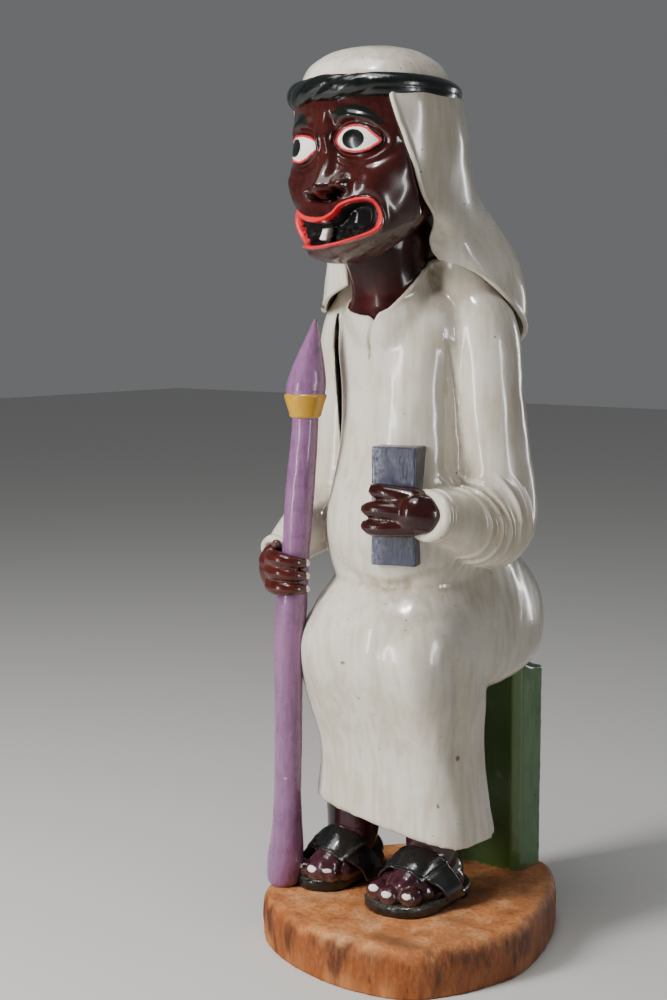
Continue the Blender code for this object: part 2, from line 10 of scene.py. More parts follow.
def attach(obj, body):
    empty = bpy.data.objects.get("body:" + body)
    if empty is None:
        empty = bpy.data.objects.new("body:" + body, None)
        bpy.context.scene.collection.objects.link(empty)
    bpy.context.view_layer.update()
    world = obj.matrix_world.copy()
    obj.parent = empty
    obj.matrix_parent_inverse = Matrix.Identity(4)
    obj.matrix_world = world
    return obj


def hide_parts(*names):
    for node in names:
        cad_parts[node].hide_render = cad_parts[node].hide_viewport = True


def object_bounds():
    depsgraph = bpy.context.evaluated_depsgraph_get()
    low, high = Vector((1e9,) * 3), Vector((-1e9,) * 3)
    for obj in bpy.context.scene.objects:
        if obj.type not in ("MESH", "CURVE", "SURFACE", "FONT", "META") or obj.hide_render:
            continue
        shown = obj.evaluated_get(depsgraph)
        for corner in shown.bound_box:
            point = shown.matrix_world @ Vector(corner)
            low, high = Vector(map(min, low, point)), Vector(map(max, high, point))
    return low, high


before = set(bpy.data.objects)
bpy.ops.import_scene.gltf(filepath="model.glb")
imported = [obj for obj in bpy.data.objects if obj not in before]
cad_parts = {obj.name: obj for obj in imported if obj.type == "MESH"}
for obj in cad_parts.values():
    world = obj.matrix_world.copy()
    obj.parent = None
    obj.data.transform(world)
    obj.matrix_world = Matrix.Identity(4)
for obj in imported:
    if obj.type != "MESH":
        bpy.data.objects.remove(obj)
cad_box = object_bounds()


# Camera, stage and light
# The camera stands at shoulder height, to the figure's left front, and looks a little down. Places on the
# figure are given in shares: a hundredth of its height, right of its middle line, behind it and above
# the top of the log's foot.
BASE_HEIGHT = 0.038
CROWN = 99.6
SHARE = (cad_box[1][2] - BASE_HEIGHT) / CROWN
FIGURE_X = 0.7
FIGURE_Y = -3.15
NODE = "shetani_carving"
VIEW_AZIMUTH = 36.0
CAMERA_DISTANCE = 1.300
CAMERA_HEIGHT = 0.503
CAMERA_PITCH = -6.7
CAMERA_YAW = -2.584
CAMERA_LENS = 41.06
SENSOR_HEIGHT = 24.0
FLOOR_REACH = 6.0
LAMPS_AIM = (0.0, 0.0, 0.38)
WORLD_STRENGTH = 0.21
# Each lamp: its place in metres with the beholder in front, its size in metres, its power in watts, and
# its use: it lights the figure, it shows as a narrow light mirrored in the gloss paint, or both.
LAMPS = (
    ("key_lamp", (-1.30, -0.83, 0.95), (0.40, 1.00), 41.0, "lights"),
    ("top_lamp", (-0.20, -0.35, 1.65), (0.70, 0.70), 9.0, "both"),
    ("left_strip", (-1.05, -0.93, 0.42), (0.11, 0.70), 7.5, "mirrors"),
    ("right_strip", (1.06, -0.92, 0.42), (0.12, 0.70), 7.0, "mirrors"),
    ("rim_strip", (1.15, 0.80, 0.45), (0.10, 0.70), 4.5, "mirrors"),
    ("glint", (-0.10, -0.62, 1.50), (0.11, 0.11), 7.0, "mirrors"),
)


def turned(degrees):
    """The turn about the figure's upright line that takes a straight front view to the azimuth."""
    middle = Matrix.Translation((FIGURE_X * SHARE, FIGURE_Y * SHARE, 0))
    return middle @ Matrix.Rotation(math.radians(degrees), 4, "Z")


def colour(code):
    """A hex colour as a screen shows it, turned to the linear values that shaders take."""
    values = [int(code[i:i + 2], 16) / 255 for i in (1, 3, 5)]
    return (*[v / 12.92 if v <= 0.04045 else ((v + 0.055) / 1.055) ** 2.4 for v in values], 1.0)


def add(tree, kind, inputs=None, **settings):
    """Adds a shader node with its settings, and gives each named input its value or its link."""
    node = tree.nodes.new(kind)
    for name, value in settings.items():
        setattr(node, name, value)
    for name, value in (inputs or {}).items():
        if isinstance(value, bpy.types.NodeSocket):
            tree.links.new(value, node.inputs[name])
        else:
            node.inputs[name].default_value = value
    return node


def link_object(name, data):
    """Puts a mesh, lamp or camera into the scene as an object."""
    obj = bpy.data.objects.new(name, data)
    bpy.context.scene.collection.objects.link(obj)
    return obj


camera = bpy.data.cameras.new("camera")
camera.sensor_fit = "VERTICAL"
camera.sensor_height = SENSOR_HEIGHT
camera.lens = CAMERA_LENS
camera_object = link_object("camera", camera)
pitch, yaw = math.radians(CAMERA_PITCH), math.radians(CAMERA_YAW)
ahead = Vector((math.sin(yaw) * math.cos(pitch), math.cos(yaw) * math.cos(pitch), math.sin(pitch)))
aim = ahead.to_track_quat("-Z", "Y").to_matrix().to_4x4()
standing = Matrix.Translation((0, -CAMERA_DISTANCE, CAMERA_HEIGHT))
camera_object.matrix_world = turned(VIEW_AZIMUTH) @ standing @ aim
bpy.context.scene.camera = camera_object

floor_mesh = bpy.data.meshes.new("floor")
corners = [(x * FLOOR_REACH, y * FLOOR_REACH, 0) for x, y in ((-1, -1), (1, -1), (1, 1), (-1, 1))]
floor_mesh.from_pydata(corners, [], [(0, 1, 2, 3)])
floor = link_object("floor", floor_mesh)
paper = bpy.data.materials.new("pale_paper")
paper.use_nodes = True
paper_shader = paper.node_tree.nodes["Principled BSDF"]
paper_shader.inputs["Base Color"].default_value = colour("#D8D6D1")
paper_shader.inputs["Roughness"].default_value = 0.8
floor_mesh.materials.append(paper)

for name, spot, size, power, use in LAMPS:
    lamp = bpy.data.lights.new(name, "AREA")
    lamp.shape = "RECTANGLE"
    lamp.size, lamp.size_y = size
    lamp.energy = power
    toward = Vector(LAMPS_AIM) - Vector(spot)
    facing = toward.to_track_quat("-Z", "Y").to_matrix().to_4x4()
    lamp_object = link_object(name, lamp)
    lamp_object.matrix_world = turned(VIEW_AZIMUTH) @ Matrix.Translation(spot) @ facing
    lamp_object.visible_glossy = use != "lights"
    lamp_object.visible_diffuse = use != "mirrors"

world = bpy.data.worlds.new("studio")
bpy.context.scene.world = world
world.use_nodes = True
world.node_tree.nodes["Background"].inputs["Color"].default_value = colour("#D9DCE0")
world.node_tree.nodes["Background"].inputs["Strength"].default_value = WORLD_STRENGTH


# Foot of the log
# The raw round of the trunk left under the figure: bare orange-brown hardwood, sawn flat below, upright
# fibres and dark streaks on its side, its upper edge worn round and its lower edge splintered.
BASE_HALF_WIDTH = (cad_box[1][0] - cad_box[0][0]) / 2
BASE_HALF_DEPTH = (cad_box[1][1] - cad_box[0][1]) / 2
BASE_WORN_EDGE = 0.0115
# How much of the outline the worn edge takes away, and where the top's first ring lies inside it.
BASE_EDGE_IN = 0.078
BASE_TOP_SHARE = 0.912
BASE_COLUMNS = 440
# Places on the foot in metres: a smudge on its top, the scorched side by the spear, and the crack.
SMUDGE_AT = (0.062, -0.104)
SCORCH_AT = (-0.085, -0.09)
CRACK_X = 0.0461
CRACK_TOP = 0.034
RIPPLE_WAVES = 18
# The log's outline, as shares of its half width and half depth.
BASE_OUTLINE = (
    (0.61, -0.93), (0.19, -1.0), (-0.25, -0.94), (-0.64, -0.79), (-0.90, -0.58), (-1.0, -0.27),
    (-0.99, 0.10), (-0.87, 0.52), (-0.52, 0.86), (0.0, 1.0), (0.38, 0.97), (0.62, 0.76), (0.81, 0.45),
    (0.95, 0.08), (1.0, -0.20), (0.96, -0.42), (0.83, -0.72),
)


def through(rows, count, closed=False):
    """Points read along a smooth curve through the given ones: on each stretch a cubic, whose slope at
    a point is half the step from the point before it to the point after it."""
    rows = np.asarray(rows, float)
    if closed:
        ends = np.vstack([rows[-1:], rows, rows[:2]])
        at = np.linspace(0, len(rows), count, endpoint=False)
    else:
        ends = np.vstack([2 * rows[0] - rows[1], rows, 2 * rows[-1] - rows[-2]])
        at = np.linspace(0, len(rows) - 1, count)
    start = np.minimum(at.astype(int), len(ends) - 4)
    t = (at - start)[:, None]
    a, b, c, d = (ends[start + k] for k in range(4))
    return b + 0.5 * t * (c - a + t * (2 * a - 5 * b + 4 * c - d + t * (3 * (b - c) + d - a)))


def ripple(points, size, seed):
    """Smooth unevenness, mostly from -1 to 1: a sixth of a sum of cosine waves of about the given length,
    each running its own way, with the ways drawn once from the seed."""
    draw = np.random.default_rng(seed)
    ways = draw.normal(size=(RIPPLE_WAVES, 3))
    lengths = size / draw.uniform(0.6, 1.5, (RIPPLE_WAVES, 1))
    ways *= 2 * math.pi / lengths / np.linalg.norm(ways, axis=1)[:, None]
    starts = draw.uniform(0, 2 * math.pi, RIPPLE_WAVES)
    total = np.zeros(points.shape[:-1])
    for way, start in zip(ways, starts):
        total += np.cos(points @ way + start)
    return total / 6


def rise(value, soft):
    """A smooth step from 0 to 1 where the value passes zero: 1 / (1 + e^(-value / soft))."""
    return 1 / (1 + np.exp(-np.clip(value / soft, -30, 30)))


def grid_mesh(name, points, filled=True):
    """A skin over rows of points that each go once round, with its two ends filled if asked."""
    rows, columns = points.shape[:2]
    index = np.arange(rows * columns).reshape(rows, columns)
    beside = np.roll(index, -1, axis=1)
    faces = np.stack([index[:-1], beside[:-1], beside[1:], index[1:]], axis=-1).reshape(-1, 4).tolist()
    if filled:
        faces += [index[0, ::-1].tolist(), index[-1].tolist()]
    mesh = bpy.data.meshes.new(name)
    mesh.from_pydata(points.reshape(-1, 3).tolist(), [], faces)
    return mesh


def tidy(mesh):
    """Merges doubled points, drops flat faces and turns all faces outwards."""
    work = bmesh.new()
    work.from_mesh(mesh)
    bmesh.ops.remove_doubles(work, verts=work.verts, dist=2e-6)
    bmesh.ops.dissolve_degenerate(work, edges=work.edges, dist=1e-7)
    bmesh.ops.recalc_face_normals(work, faces=work.faces)
    work.to_mesh(mesh)
    work.free()
    return mesh


def piece_of(name, mesh, material):
    """Makes a mesh a piece of the carving: it rides on the root, stands for the solid, and is painted."""
    mesh.polygons.foreach_set("use_smooth", np.ones(len(mesh.polygons), bool))
    mesh.materials.clear()
    mesh.materials.append(material)
    piece = link_object(name, mesh)
    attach(piece, "root")
    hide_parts(NODE)
    return piece


def points_of(mesh):
    """The places of a mesh's points and the way each faces, as two arrays."""
    places = np.empty(len(mesh.vertices) * 3, np.float32)
    mesh.vertices.foreach_get("co", places)
    facing = np.empty(len(mesh.vertices) * 3, np.float32)
    mesh.vertex_normals.foreach_get("vector", facing)
    return places.reshape(-1, 3).astype(float), facing.reshape(-1, 3).astype(float)


def store(mesh, **values):
    """Keeps a number for each point of a mesh under each name, for its material to read."""
    for name, numbers in values.items():
        layer = mesh.attributes.new(name, "FLOAT", "POINT")
        layer.data.foreach_set("value", np.asarray(numbers, np.float32).ravel())


def new_material(name):
    """A material, its node tree, its shader and the place on the object that its patterns read."""
    material = bpy.data.materials.new(name)
    material.use_nodes = True
    tree = material.node_tree
    spot = add(tree, "ShaderNodeTexCoord").outputs["Object"]
    return material, tree, tree.nodes["Principled BSDF"], spot


def mixed(tree, amount, under, over, blend="MIX"):
    """One colour laid over another by an amount; either may be a hex code or a socket."""
    pair = [colour(c) if isinstance(c, str) else c for c in (under, over)]
    node = add(tree, "ShaderNodeMix", data_type="RGBA", blend_type=blend)
    for name, value in (("Factor", amount), ("A", pair[0]), ("B", pair[1])):
        if isinstance(value, bpy.types.NodeSocket):
            tree.links.new(value, node.inputs[name])
        else:
            node.inputs[name].default_value = value
    return node.outputs["Result"]


def noise(tree, spot, scale, detail, roughness=0.5):
    """A cloudy pattern: how many clouds lie in a metre, how many finer layers they have, and how strong
    each layer is beside the one before it."""
    inputs = {"Vector": spot, "Scale": scale, "Detail": detail, "Roughness": roughness}
    return add(tree, "ShaderNodeTexNoise", inputs).outputs["Fac"]


def kept(tree, name):
    """The numbers that store() has kept for a mesh's points under a name."""
    return add(tree, "ShaderNodeAttribute", attribute_name=name).outputs["Fac"]


def ranged(tree, value, low, high, to_low=0.0, to_high=1.0):
    """A value carried evenly from one range to another, and held at that one's ends."""
    inputs = {"Value": value, "From Min": low, "From Max": high, "To Min": to_low, "To Max": to_high}
    return add(tree, "ShaderNodeMapRange", inputs).outputs[0]


def times(tree, first, second):
    """Two values multiplied, and held between 0 and 1."""
    return add(tree, "ShaderNodeMath", {0: first, 1: second}, operation="MULTIPLY", use_clamp=True).outputs[0]


def embossed(tree, shader, height, strength, distance):
    """Lets a pattern stand out of the surface by at most the distance in metres."""
    relief = add(tree, "ShaderNodeBump", {"Height": height, "Strength": strength, "Distance": distance})
    tree.links.new(relief.outputs[0], shader.inputs["Normal"])


def raw_wood():
    """Bare orange-brown hardwood with next to no shine. Fibres about 2.5 mm apart run up its side, with
    scorched streaks, pale splinters and a crack; its top is rubbed in patches 20 to 40 mm across."""
    material, tree, shader, spot = new_material("raw_orange_hardwood")
    upright = add(tree, "ShaderNodeMapping", {"Vector": spot, "Scale": (1.0, 1.0, 0.26)}).outputs[0]
    fibres = noise(tree, upright, 380.0, 6.0, 0.65)
    streaks = noise(tree, upright, 62.0, 8.0, 0.7)
    patches = noise(tree, spot, 30.0, 7.0, 0.68)
    fine = noise(tree, spot, 260.0, 6.0, 0.7)
    warm = add(tree, "ShaderNodeValToRGB", {"Fac": patches})
    ramp = warm.color_ramp
    ramp.elements[0].position, ramp.elements[0].color = 0.30, colour("#A05A2C")
    ramp.elements[1].position, ramp.elements[1].color = 0.70, colour("#EDB581")
    ramp.elements.new(0.50).color = colour("#D48A52")
    side = kept(tree, "side")
    tone = mixed(tree, times(tree, side, 0.80), warm.outputs[0], "#8C4717")
    fibre_dark = ranged(tree, fibres, 0.62, 0.40, to_high=0.50)
    tone = mixed(tree, times(tree, fibre_dark, side), tone, "#6B3110")
    tone = mixed(tree, ranged(tree, fine, 0.58, 0.36, to_high=0.55), tone, "#8A4A22")
    dark_from = ranged(tree, kept(tree, "scorch"), 0.0, 1.0, 0.56, 0.40)
    dark = add(tree, "ShaderNodeMath", {0: streaks, 1: dark_from}, operation="SUBTRACT").outputs[0]
    streak = ranged(tree, dark, 0.0, 0.12, to_high=0.85)
    tone = mixed(tree, times(tree, streak, side), tone, "#4A2411")
    tone = mixed(tree, kept(tree, "pale"), tone, "#DB9A5C")
    tone = mixed(tree, kept(tree, "crack"), tone, "#1E0E07")
    tone = mixed(tree, times(tree, kept(tree, "grime"), fine), tone, "#3F3327")
    tree.links.new(tone, shader.inputs["Base Color"])
    shader.inputs["Roughness"].default_value = 0.66
    shader.inputs["Specular IOR Level"].default_value = 0.35
    height = add(tree, "ShaderNodeMath", {0: fibres, 1: fine}, operation="ADD").outputs[0]
    embossed(tree, shader, height, 0.6, 0.0012)
    return material


def log_foot():
    """The outline of the log, drawn in to nothing on the flat underside, straight up the side, round a
    quarter circle at the worn edge and in to nothing again across the top. Ripples stretched upright
    cut the fibres into its side and the splinters into its lower edge."""
    outline = through(BASE_OUTLINE, BASE_COLUMNS, closed=True)
    under = [(0.0, share) for share in np.linspace(0.0, 0.985, 5)]
    side = [(height, 1.0) for height in np.linspace(0.0010, BASE_HEIGHT - BASE_WORN_EDGE, 22)]
    turn = np.linspace(0, math.pi / 2, 9)[1:]
    edge = [(BASE_HEIGHT - BASE_WORN_EDGE * (1 - math.sin(angle)), 1 - BASE_EDGE_IN * (1 - math.cos(angle)))
            for angle in turn]
    top = [(BASE_HEIGHT, share) for share in np.linspace(BASE_TOP_SHARE, 0.0, 40)]
    profile = np.array(under + side + edge + top)
    height = np.repeat(profile[:, :1], BASE_COLUMNS, axis=1)
    share = np.repeat(profile[:, 1:], BASE_COLUMNS, axis=1)
    x = share * outline[None, :, 0] * BASE_HALF_WIDTH
    y = share * outline[None, :, 1] * BASE_HALF_DEPTH
    points = np.stack([x, y, height], axis=-1)
    upright = points * np.array([1, 1, 0.16])
    on_side = rise(share - 0.985, 0.004) * rise(height - 0.0004, 0.0002)
    low = rise(0.010 - height, 0.0025) * on_side
    inset = on_side * (0.0006 + 0.0004 * (ripple(upright, 0.0042, 3) + 0.7 * ripple(upright, 0.0019, 4)))
    inset += low * 0.0010 * np.clip(ripple(upright, 0.010, 5) + 0.4, 0, 2)
    reach = np.maximum(np.hypot(x, y), 0.02)
    points[..., :2] *= (1 - np.clip(inset, 0, None) / reach)[..., None]
    on_top = rise(height - BASE_HEIGHT + 0.0012, 0.0004)
    chisel = 0.0006 * ripple(points, 0.045, 8) + 0.00025 * ripple(points, 0.012, 9)
    points[..., 2] += on_top * (chisel - 0.0006) * rise(share - 0.02, 0.01)
    mesh = grid_mesh("log_foot", points, filled=False)
    worn = np.exp(-((height - BASE_HEIGHT + 0.006) / 0.006) ** 2)
    worn = worn * np.clip(ripple(points, 0.05, 11) + 0.2, 0, 1)
    smudge = np.exp(-((x - SMUDGE_AT[0]) / 0.020) ** 2 - ((y - SMUDGE_AT[1]) / 0.008) ** 2) * on_top * 1.5
    # Darker patches on the side under the rim, most of them by the spear, and one hairline crack in front.
    rim = BASE_HEIGHT - 0.0055 + 0.003 * ripple(points, 0.014, 13)
    shown = rise(rim - height, 0.0018) * rise(share - 0.9, 0.01)
    by_spear = np.exp(-((x - SCORCH_AT[0]) / 0.035) ** 2 - ((y - SCORCH_AT[1]) / 0.05) ** 2)
    scorch = np.clip(0.45 + 0.55 * ripple(upright, 0.035, 14) + 0.7 * by_spear, 0, 1)
    scorch = scorch * rise(height - 0.009, 0.003)
    bent = 0.0006 * ripple(points * (0, 0, 1), 0.006, 15)
    crack = 0.7 * np.exp(-(((x - CRACK_X - bent) / 0.00035) ** 2)) * (y < -0.10)
    crack = crack * rise(CRACK_TOP - height, 0.001) * on_side
    pale = low * (0.02 + 0.4 * ripple(upright, 0.02, 6))
    dusty = on_top * 0.5 * np.clip(ripple(points, 0.03, 12), 0, 1)
    store(mesh, side=shown, scorch=scorch, crack=np.clip(crack, 0, 1), pale=np.clip(pale, 0, 1),
          grime=np.clip(0.9 * worn + smudge + dusty, 0, 1))
    return piece_of("log_foot", tidy(mesh), raw_wood())


log_foot()


# Seat
# The squared block behind the skirt, of the same wood: hand-planed faces, its front corners cut off with
# a knife, and brushed with mid green gloss paint that stops in a ragged line above the raw foot.
SEAT_LEFT = 5.95
SEAT_RIGHT = -8.9
SEAT_FRONT = 15.0
SEAT_BACK = 20.55
SEAT_TOP = 26.6
SEAT_CORNER = 0.95
SEAT_SHARP_FROM = 32.0
# How often in a metre a brushed border wavers.
BORDER_WAVERS = 420.0


def to_metres(places):
    """Places on the figure, in shares, turned to metres in the frame."""
    shift = np.array([FIGURE_X * SHARE, FIGURE_Y * SHARE, BASE_HEIGHT])
    return np.asarray(places, float) * SHARE + shift


def to_shares(places):
    """Metres in the frame turned to places on the figure, in shares."""
    shift = np.array([FIGURE_X * SHARE, FIGURE_Y * SHARE, BASE_HEIGHT])
    return (np.asarray(places, float) - shift) / SHARE


def gloss_paint(name, light, deep, patch, shine, brush, stretch=(1.0, 1.0, 0.16)):
    """Brushed gloss paint over wood: a light and a deep tone in patches of about the given length in
    metres, with streaks an eighth of that width drawn out along the brush. The film is thick, so a
    clear coat gives a crisp light over the soft one, and its thin spots are duller."""
    material, tree, shader, spot = new_material(name)
    drawn = add(tree, "ShaderNodeMapping", {"Vector": spot, "Scale": stretch}).outputs[0]
    streaks = noise(tree, drawn, 8 / patch, 4.0)
    patches = noise(tree, spot, 1 / patch, 5.0)
    both = add(tree, "ShaderNodeMath", {0: streaks, 1: patches}, operation="ADD").outputs[0]
    tone = mixed(tree, ranged(tree, both, 0.80, 1.12), deep, light)
    dull = ranged(tree, patches, 0.3, 0.7, shine * 0.75, shine * 1.35)
    tree.links.new(dull, shader.inputs["Roughness"])
    shader.inputs["Coat Weight"].default_value = 0.35
    shader.inputs["Coat Roughness"].default_value = 0.07
    embossed(tree, shader, both, brush, 0.0008)
    return material, tree, shader, spot, tone


def painted(tree, spot, under, over, attribute, soft=0.03, waver=0.06):
    """A colour brushed over another where an attribute, the distance in shares inside the brush's
    border, is above zero. The border wavers by a few tenths of a millimetre, as a hand's does."""
    shake = add(tree, "ShaderNodeMath", {0: noise(tree, spot, BORDER_WAVERS, 2.0), 1: -0.5}, operation="ADD")
    inputs = {0: shake.outputs[0], 1: 2 * waver, 2: kept(tree, attribute)}
    border = add(tree, "ShaderNodeMath", inputs, operation="MULTIPLY_ADD").outputs[0]
    return mixed(tree, ranged(tree, border, -soft, soft), under, over)


def seat():
    """The block's outline, its corners cut off, carried straight up; ripples stretched upright push
    each level in or out by a few tenths of a millimetre, as a plane leaves it."""
    cut = SEAT_CORNER
    corners = np.array([
        (SEAT_LEFT - cut, SEAT_FRONT), (SEAT_LEFT, SEAT_FRONT + cut), (SEAT_LEFT, SEAT_BACK - 0.2),
        (SEAT_LEFT - 0.2, SEAT_BACK), (SEAT_RIGHT + 0.2, SEAT_BACK), (SEAT_RIGHT, SEAT_BACK - 0.2),
        (SEAT_RIGHT, SEAT_FRONT + 0.6 * cut), (SEAT_RIGHT + 0.6 * cut, SEAT_FRONT),
    ])
    outline = []
    for start, end in zip(corners, np.roll(corners, -1, axis=0)):
        length = np.linalg.norm(end - start)
        inner = np.linspace(0.12 / length, 1 - 0.12 / length, max(3, int(length * 4)))
        outline += [start + (end - start) * t for t in inner]
    outline = np.array(outline)
    heights = np.concatenate([[-0.4], np.linspace(0, SEAT_TOP - 0.2, 90), [SEAT_TOP - 0.06, SEAT_TOP]])
    inward = np.interp(heights, [SEAT_TOP - 0.2, SEAT_TOP - 0.06, SEAT_TOP], [1.0, 0.992, 0.975])
    middle = np.array([(SEAT_LEFT + SEAT_RIGHT) / 2, (SEAT_FRONT + SEAT_BACK) / 2])
    away = outline - middle
    rings = middle + away[None] * inward[:, None, None]
    levels = np.repeat(heights[:, None, None], len(outline), axis=1)
    points = np.concatenate([rings, levels], axis=-1)
    planed = 0.05 * ripple(points * np.array([1, 1, 0.35]), 4.0, 21) + 0.025 * ripple(points, 1.6, 22) - 0.05
    points[..., :2] += (away / np.linalg.norm(away, axis=1, keepdims=True))[None] * planed[..., None]
    corner = rise(points[..., 0] + 0.8 * points[..., 1] - 19.6, 0.45) * rise(points[..., 2] - 25.4, 0.3)
    points[..., 2] -= 1.0 * corner
    mesh = grid_mesh("seat", to_metres(points))
    # Masks for painted shade on the cut corner and the front face.
    corner_shade = (points[..., 0] - SEAT_LEFT + cut) + (SEAT_FRONT + cut - points[..., 1]) - 0.7 * cut
    corner_shade = np.minimum(corner_shade, SEAT_FRONT + cut + 0.2 - points[..., 1])
    lifted = 0.12 + 0.16 * ripple(points, 1.6, 23) + 0.08 * ripple(points, 0.6, 24) - points[..., 2]
    store(mesh, cut_corner=corner_shade, bare=lifted, front=SEAT_FRONT + 0.3 - points[..., 1])
    material, tree, shader, spot, tone = gloss_paint(
        "green_gloss_paint", "#4E7C40", "#3C6533", 0.030, 0.36, 0.30)
    # Painted shade: the front face, which lies in the skirt's shadow, and the cut corner beside it are
    # painted in darker greens.
    tone = painted(tree, spot, tone, "#3A5424", "front", soft=0.3)
    tone = painted(tree, spot, tone, "#4F6E2E", "cut_corner", soft=0.12)
    tone = painted(tree, spot, tone, "#8A6A38", "bare", soft=0.12, waver=0.3)
    tree.links.new(tone, shader.inputs["Base Color"])
    return piece_of("seat", mesh, material)


seat_piece = seat()
sharp = bmesh.new()
sharp.from_mesh(seat_piece.data)
for edge in sharp.edges:
    edge.smooth = len(edge.link_faces) < 2 or edge.calc_face_angle(0) < math.radians(SEAT_SHARP_FROM)
sharp.to_mesh(seat_piece.data)
sharp.free()


# Feet
# Two broad bare feet, cut round three swollen toes each and painted dark purple-brown, with white
# nails. They stand out of the hem and carry the ankles up into the skirt.
HOLLOW_GAIN = 9.0
END_ROWS = 7
FOOT_GRAIN = 0.0010
SOLE_THICK = 1.385
TOENAIL_HIGH = 0.09
# Each toe: the place of its ball and its radius.
LEFT_TOES = ((-0.3, -5.9, 1.30), (2.0, -6.4, 1.30), (4.3, -5.6, 1.25))
RIGHT_TOES = ((-12.2, -4.8, 1.20), (-10.2, -5.0, 1.25), (-8.4, -4.3, 1.20))
# Each nail: its middle and its half width.
LEFT_NAILS = ((-0.15, -7.0, 2.75, 0.66), (2.15, -7.5, 2.6, 0.64), (4.5, -6.7, 2.6, 0.60))
RIGHT_NAILS = ((-12.25, -5.9, 2.65, 0.50), (-10.25, -6.1, 2.7, 0.72), (-8.3, -5.3, 2.7, 0.50))
LEFT_ANKLE = (2.6, 0.6)
RIGHT_ANKLE = (-9.6, 0.8)


def bar(path, rows=36, sides=28, ends=(1.0, 1.0)):
    """A round bar carried along a smooth path of places and radii: square to the path at each point
    stands a circle, and half a ball, drawn out by the given share, closes each end."""
    table = through(path, rows)
    centre, radius = table[:, :3], table[:, 3]
    forward = np.gradient(centre, axis=0)
    forward /= np.linalg.norm(forward, axis=1, keepdims=True)
    turn = np.linspace(0, math.pi / 2, END_ROWS + 1)[1:]
    first = centre[0] - forward[0] * (radius[0] * ends[0] * np.sin(turn))[::-1, None]
    last = centre[-1] + forward[-1] * (radius[-1] * ends[1] * np.sin(turn))[:, None]
    centre = np.vstack([first, centre, last])
    radius = np.concatenate([radius[0] * np.cos(turn)[::-1], radius, radius[-1] * np.cos(turn)])
    forward = np.vstack([
        np.repeat(forward[:1], END_ROWS, axis=0), forward, np.repeat(forward[-1:], END_ROWS, axis=0),
    ])
    level = np.eye(3)[np.argmin(np.abs(forward).mean(axis=0))]
    across = np.cross(forward, level)
    across /= np.linalg.norm(across, axis=1, keepdims=True)
    upward = np.cross(across, forward)
    round_it = np.linspace(0, 2 * math.pi, sides, endpoint=False)
    sideways = np.cos(round_it)[None, :, None] * across[:, None]
    ring = sideways + np.sin(round_it)[None, :, None] * upward[:, None]
    return centre[:, None] + np.maximum(radius, 1e-4)[:, None, None] * ring


def joined(name, grids, filled=True):
    """Closed skins, given as grids in shares, side by side in one mesh."""
    work = bmesh.new()
    for grid in grids:
        mesh = tidy(grid_mesh(name, to_metres(grid), filled))
        work.from_mesh(mesh)
        bpy.data.meshes.remove(mesh)
    mesh = bpy.data.meshes.new(name)
    work.to_mesh(mesh)
    work.free()
    return mesh


def reshaped(obj):
    """The mesh that an object's modifiers make of it; the object itself is taken away."""
    result = bpy.data.meshes.new_from_object(obj.evaluated_get(bpy.context.evaluated_depsgraph_get()))
    bpy.data.objects.remove(obj)
    return result


def fused(name, grids, grain, passes):
    """The shapes, in shares, united as one skin: cut on a grid of small cubes, then eased by moving
    each point half way to the middle of its neighbours, as often as asked."""
    lump = link_object(name, joined(name, grids))
    remesh = lump.modifiers.new("one skin", "REMESH")
    remesh.mode = "VOXEL"
    remesh.voxel_size = grain
    ease = lump.modifiers.new("eased", "SMOOTH")
    ease.factor = 0.5
    ease.iterations = passes
    result = reshaped(lump)
    result.name = name
    return result


def move_points(mesh, places):
    """Puts a mesh's points at new places, in metres."""
    mesh.vertices.foreach_set("co", np.asarray(places, np.float32).ravel())
    mesh.update()


def hollows(mesh, passes=3):
    """How hollow the skin is at each point, 0 to 1: how far the middle of a point's neighbours stands
    out along the way it faces, beside the points' spacing, spread to the neighbours a few times."""
    places, facing = points_of(mesh)
    pairs = np.empty(len(mesh.edges) * 2, np.int32)
    mesh.edges.foreach_get("vertices", pairs)
    a, b = pairs.reshape(-1, 2).T
    count = np.maximum(np.bincount(a, minlength=len(places)) + np.bincount(b, minlength=len(places)), 1)

    def mean(values):
        """The mean of each point's neighbours."""
        total = np.bincount(a, values[b], len(places)) + np.bincount(b, values[a], len(places))
        return total / count

    middle = np.stack([mean(places[:, i]) for i in range(3)], axis=-1)
    spacing = np.linalg.norm(places[a] - places[b], axis=1).mean()
    hollow = np.einsum("ij,ij->i", middle - places, facing) / spacing
    for _ in range(passes):
        hollow = 0.5 * hollow + 0.5 * mean(hollow)
    return np.clip(hollow * HOLLOW_GAIN, 0, 1)


def broken(tree, spot, under, over, attribute, pattern, low, high):
    """A colour rubbed over another as strongly as an attribute says, and broken up by a cloudy pattern
    of the given scale, detail and roughness: none below the low value, all of it above the high one."""
    amount = times(tree, kept(tree, attribute), ranged(tree, noise(tree, spot, *pattern), low, high))
    return mixed(tree, amount, under, over)


def skin_paint(name, light="#3E1410", deep="#2C0E0B"):
    """Oxblood-brown gloss enamel, two coats thick: crisp small lights, a darker tone in thin patches,
    and grey dust dried into the hollows."""
    material, tree, shader, spot, tone = gloss_paint(name, light, deep, 0.040, 0.20, 0.05, (1, 1, 1))
    shader.inputs["Specular IOR Level"].default_value = 0.32
    tone = broken(tree, spot, tone, "#6B5344", "hollow", (330.0, 5.0), 0.30, 0.62)
    return material, tree, shader, spot, tone


def nail_paint(name, light, deep):
    """The skin's enamel in the given tones, with white nails."""
    material, tree, shader, spot, tone = skin_paint(name, light, deep)
    tone = painted(tree, spot, tone, "#EDE8E2", "nail", waver=0.10)
    tree.links.new(tone, shader.inputs["Base Color"])
    return material


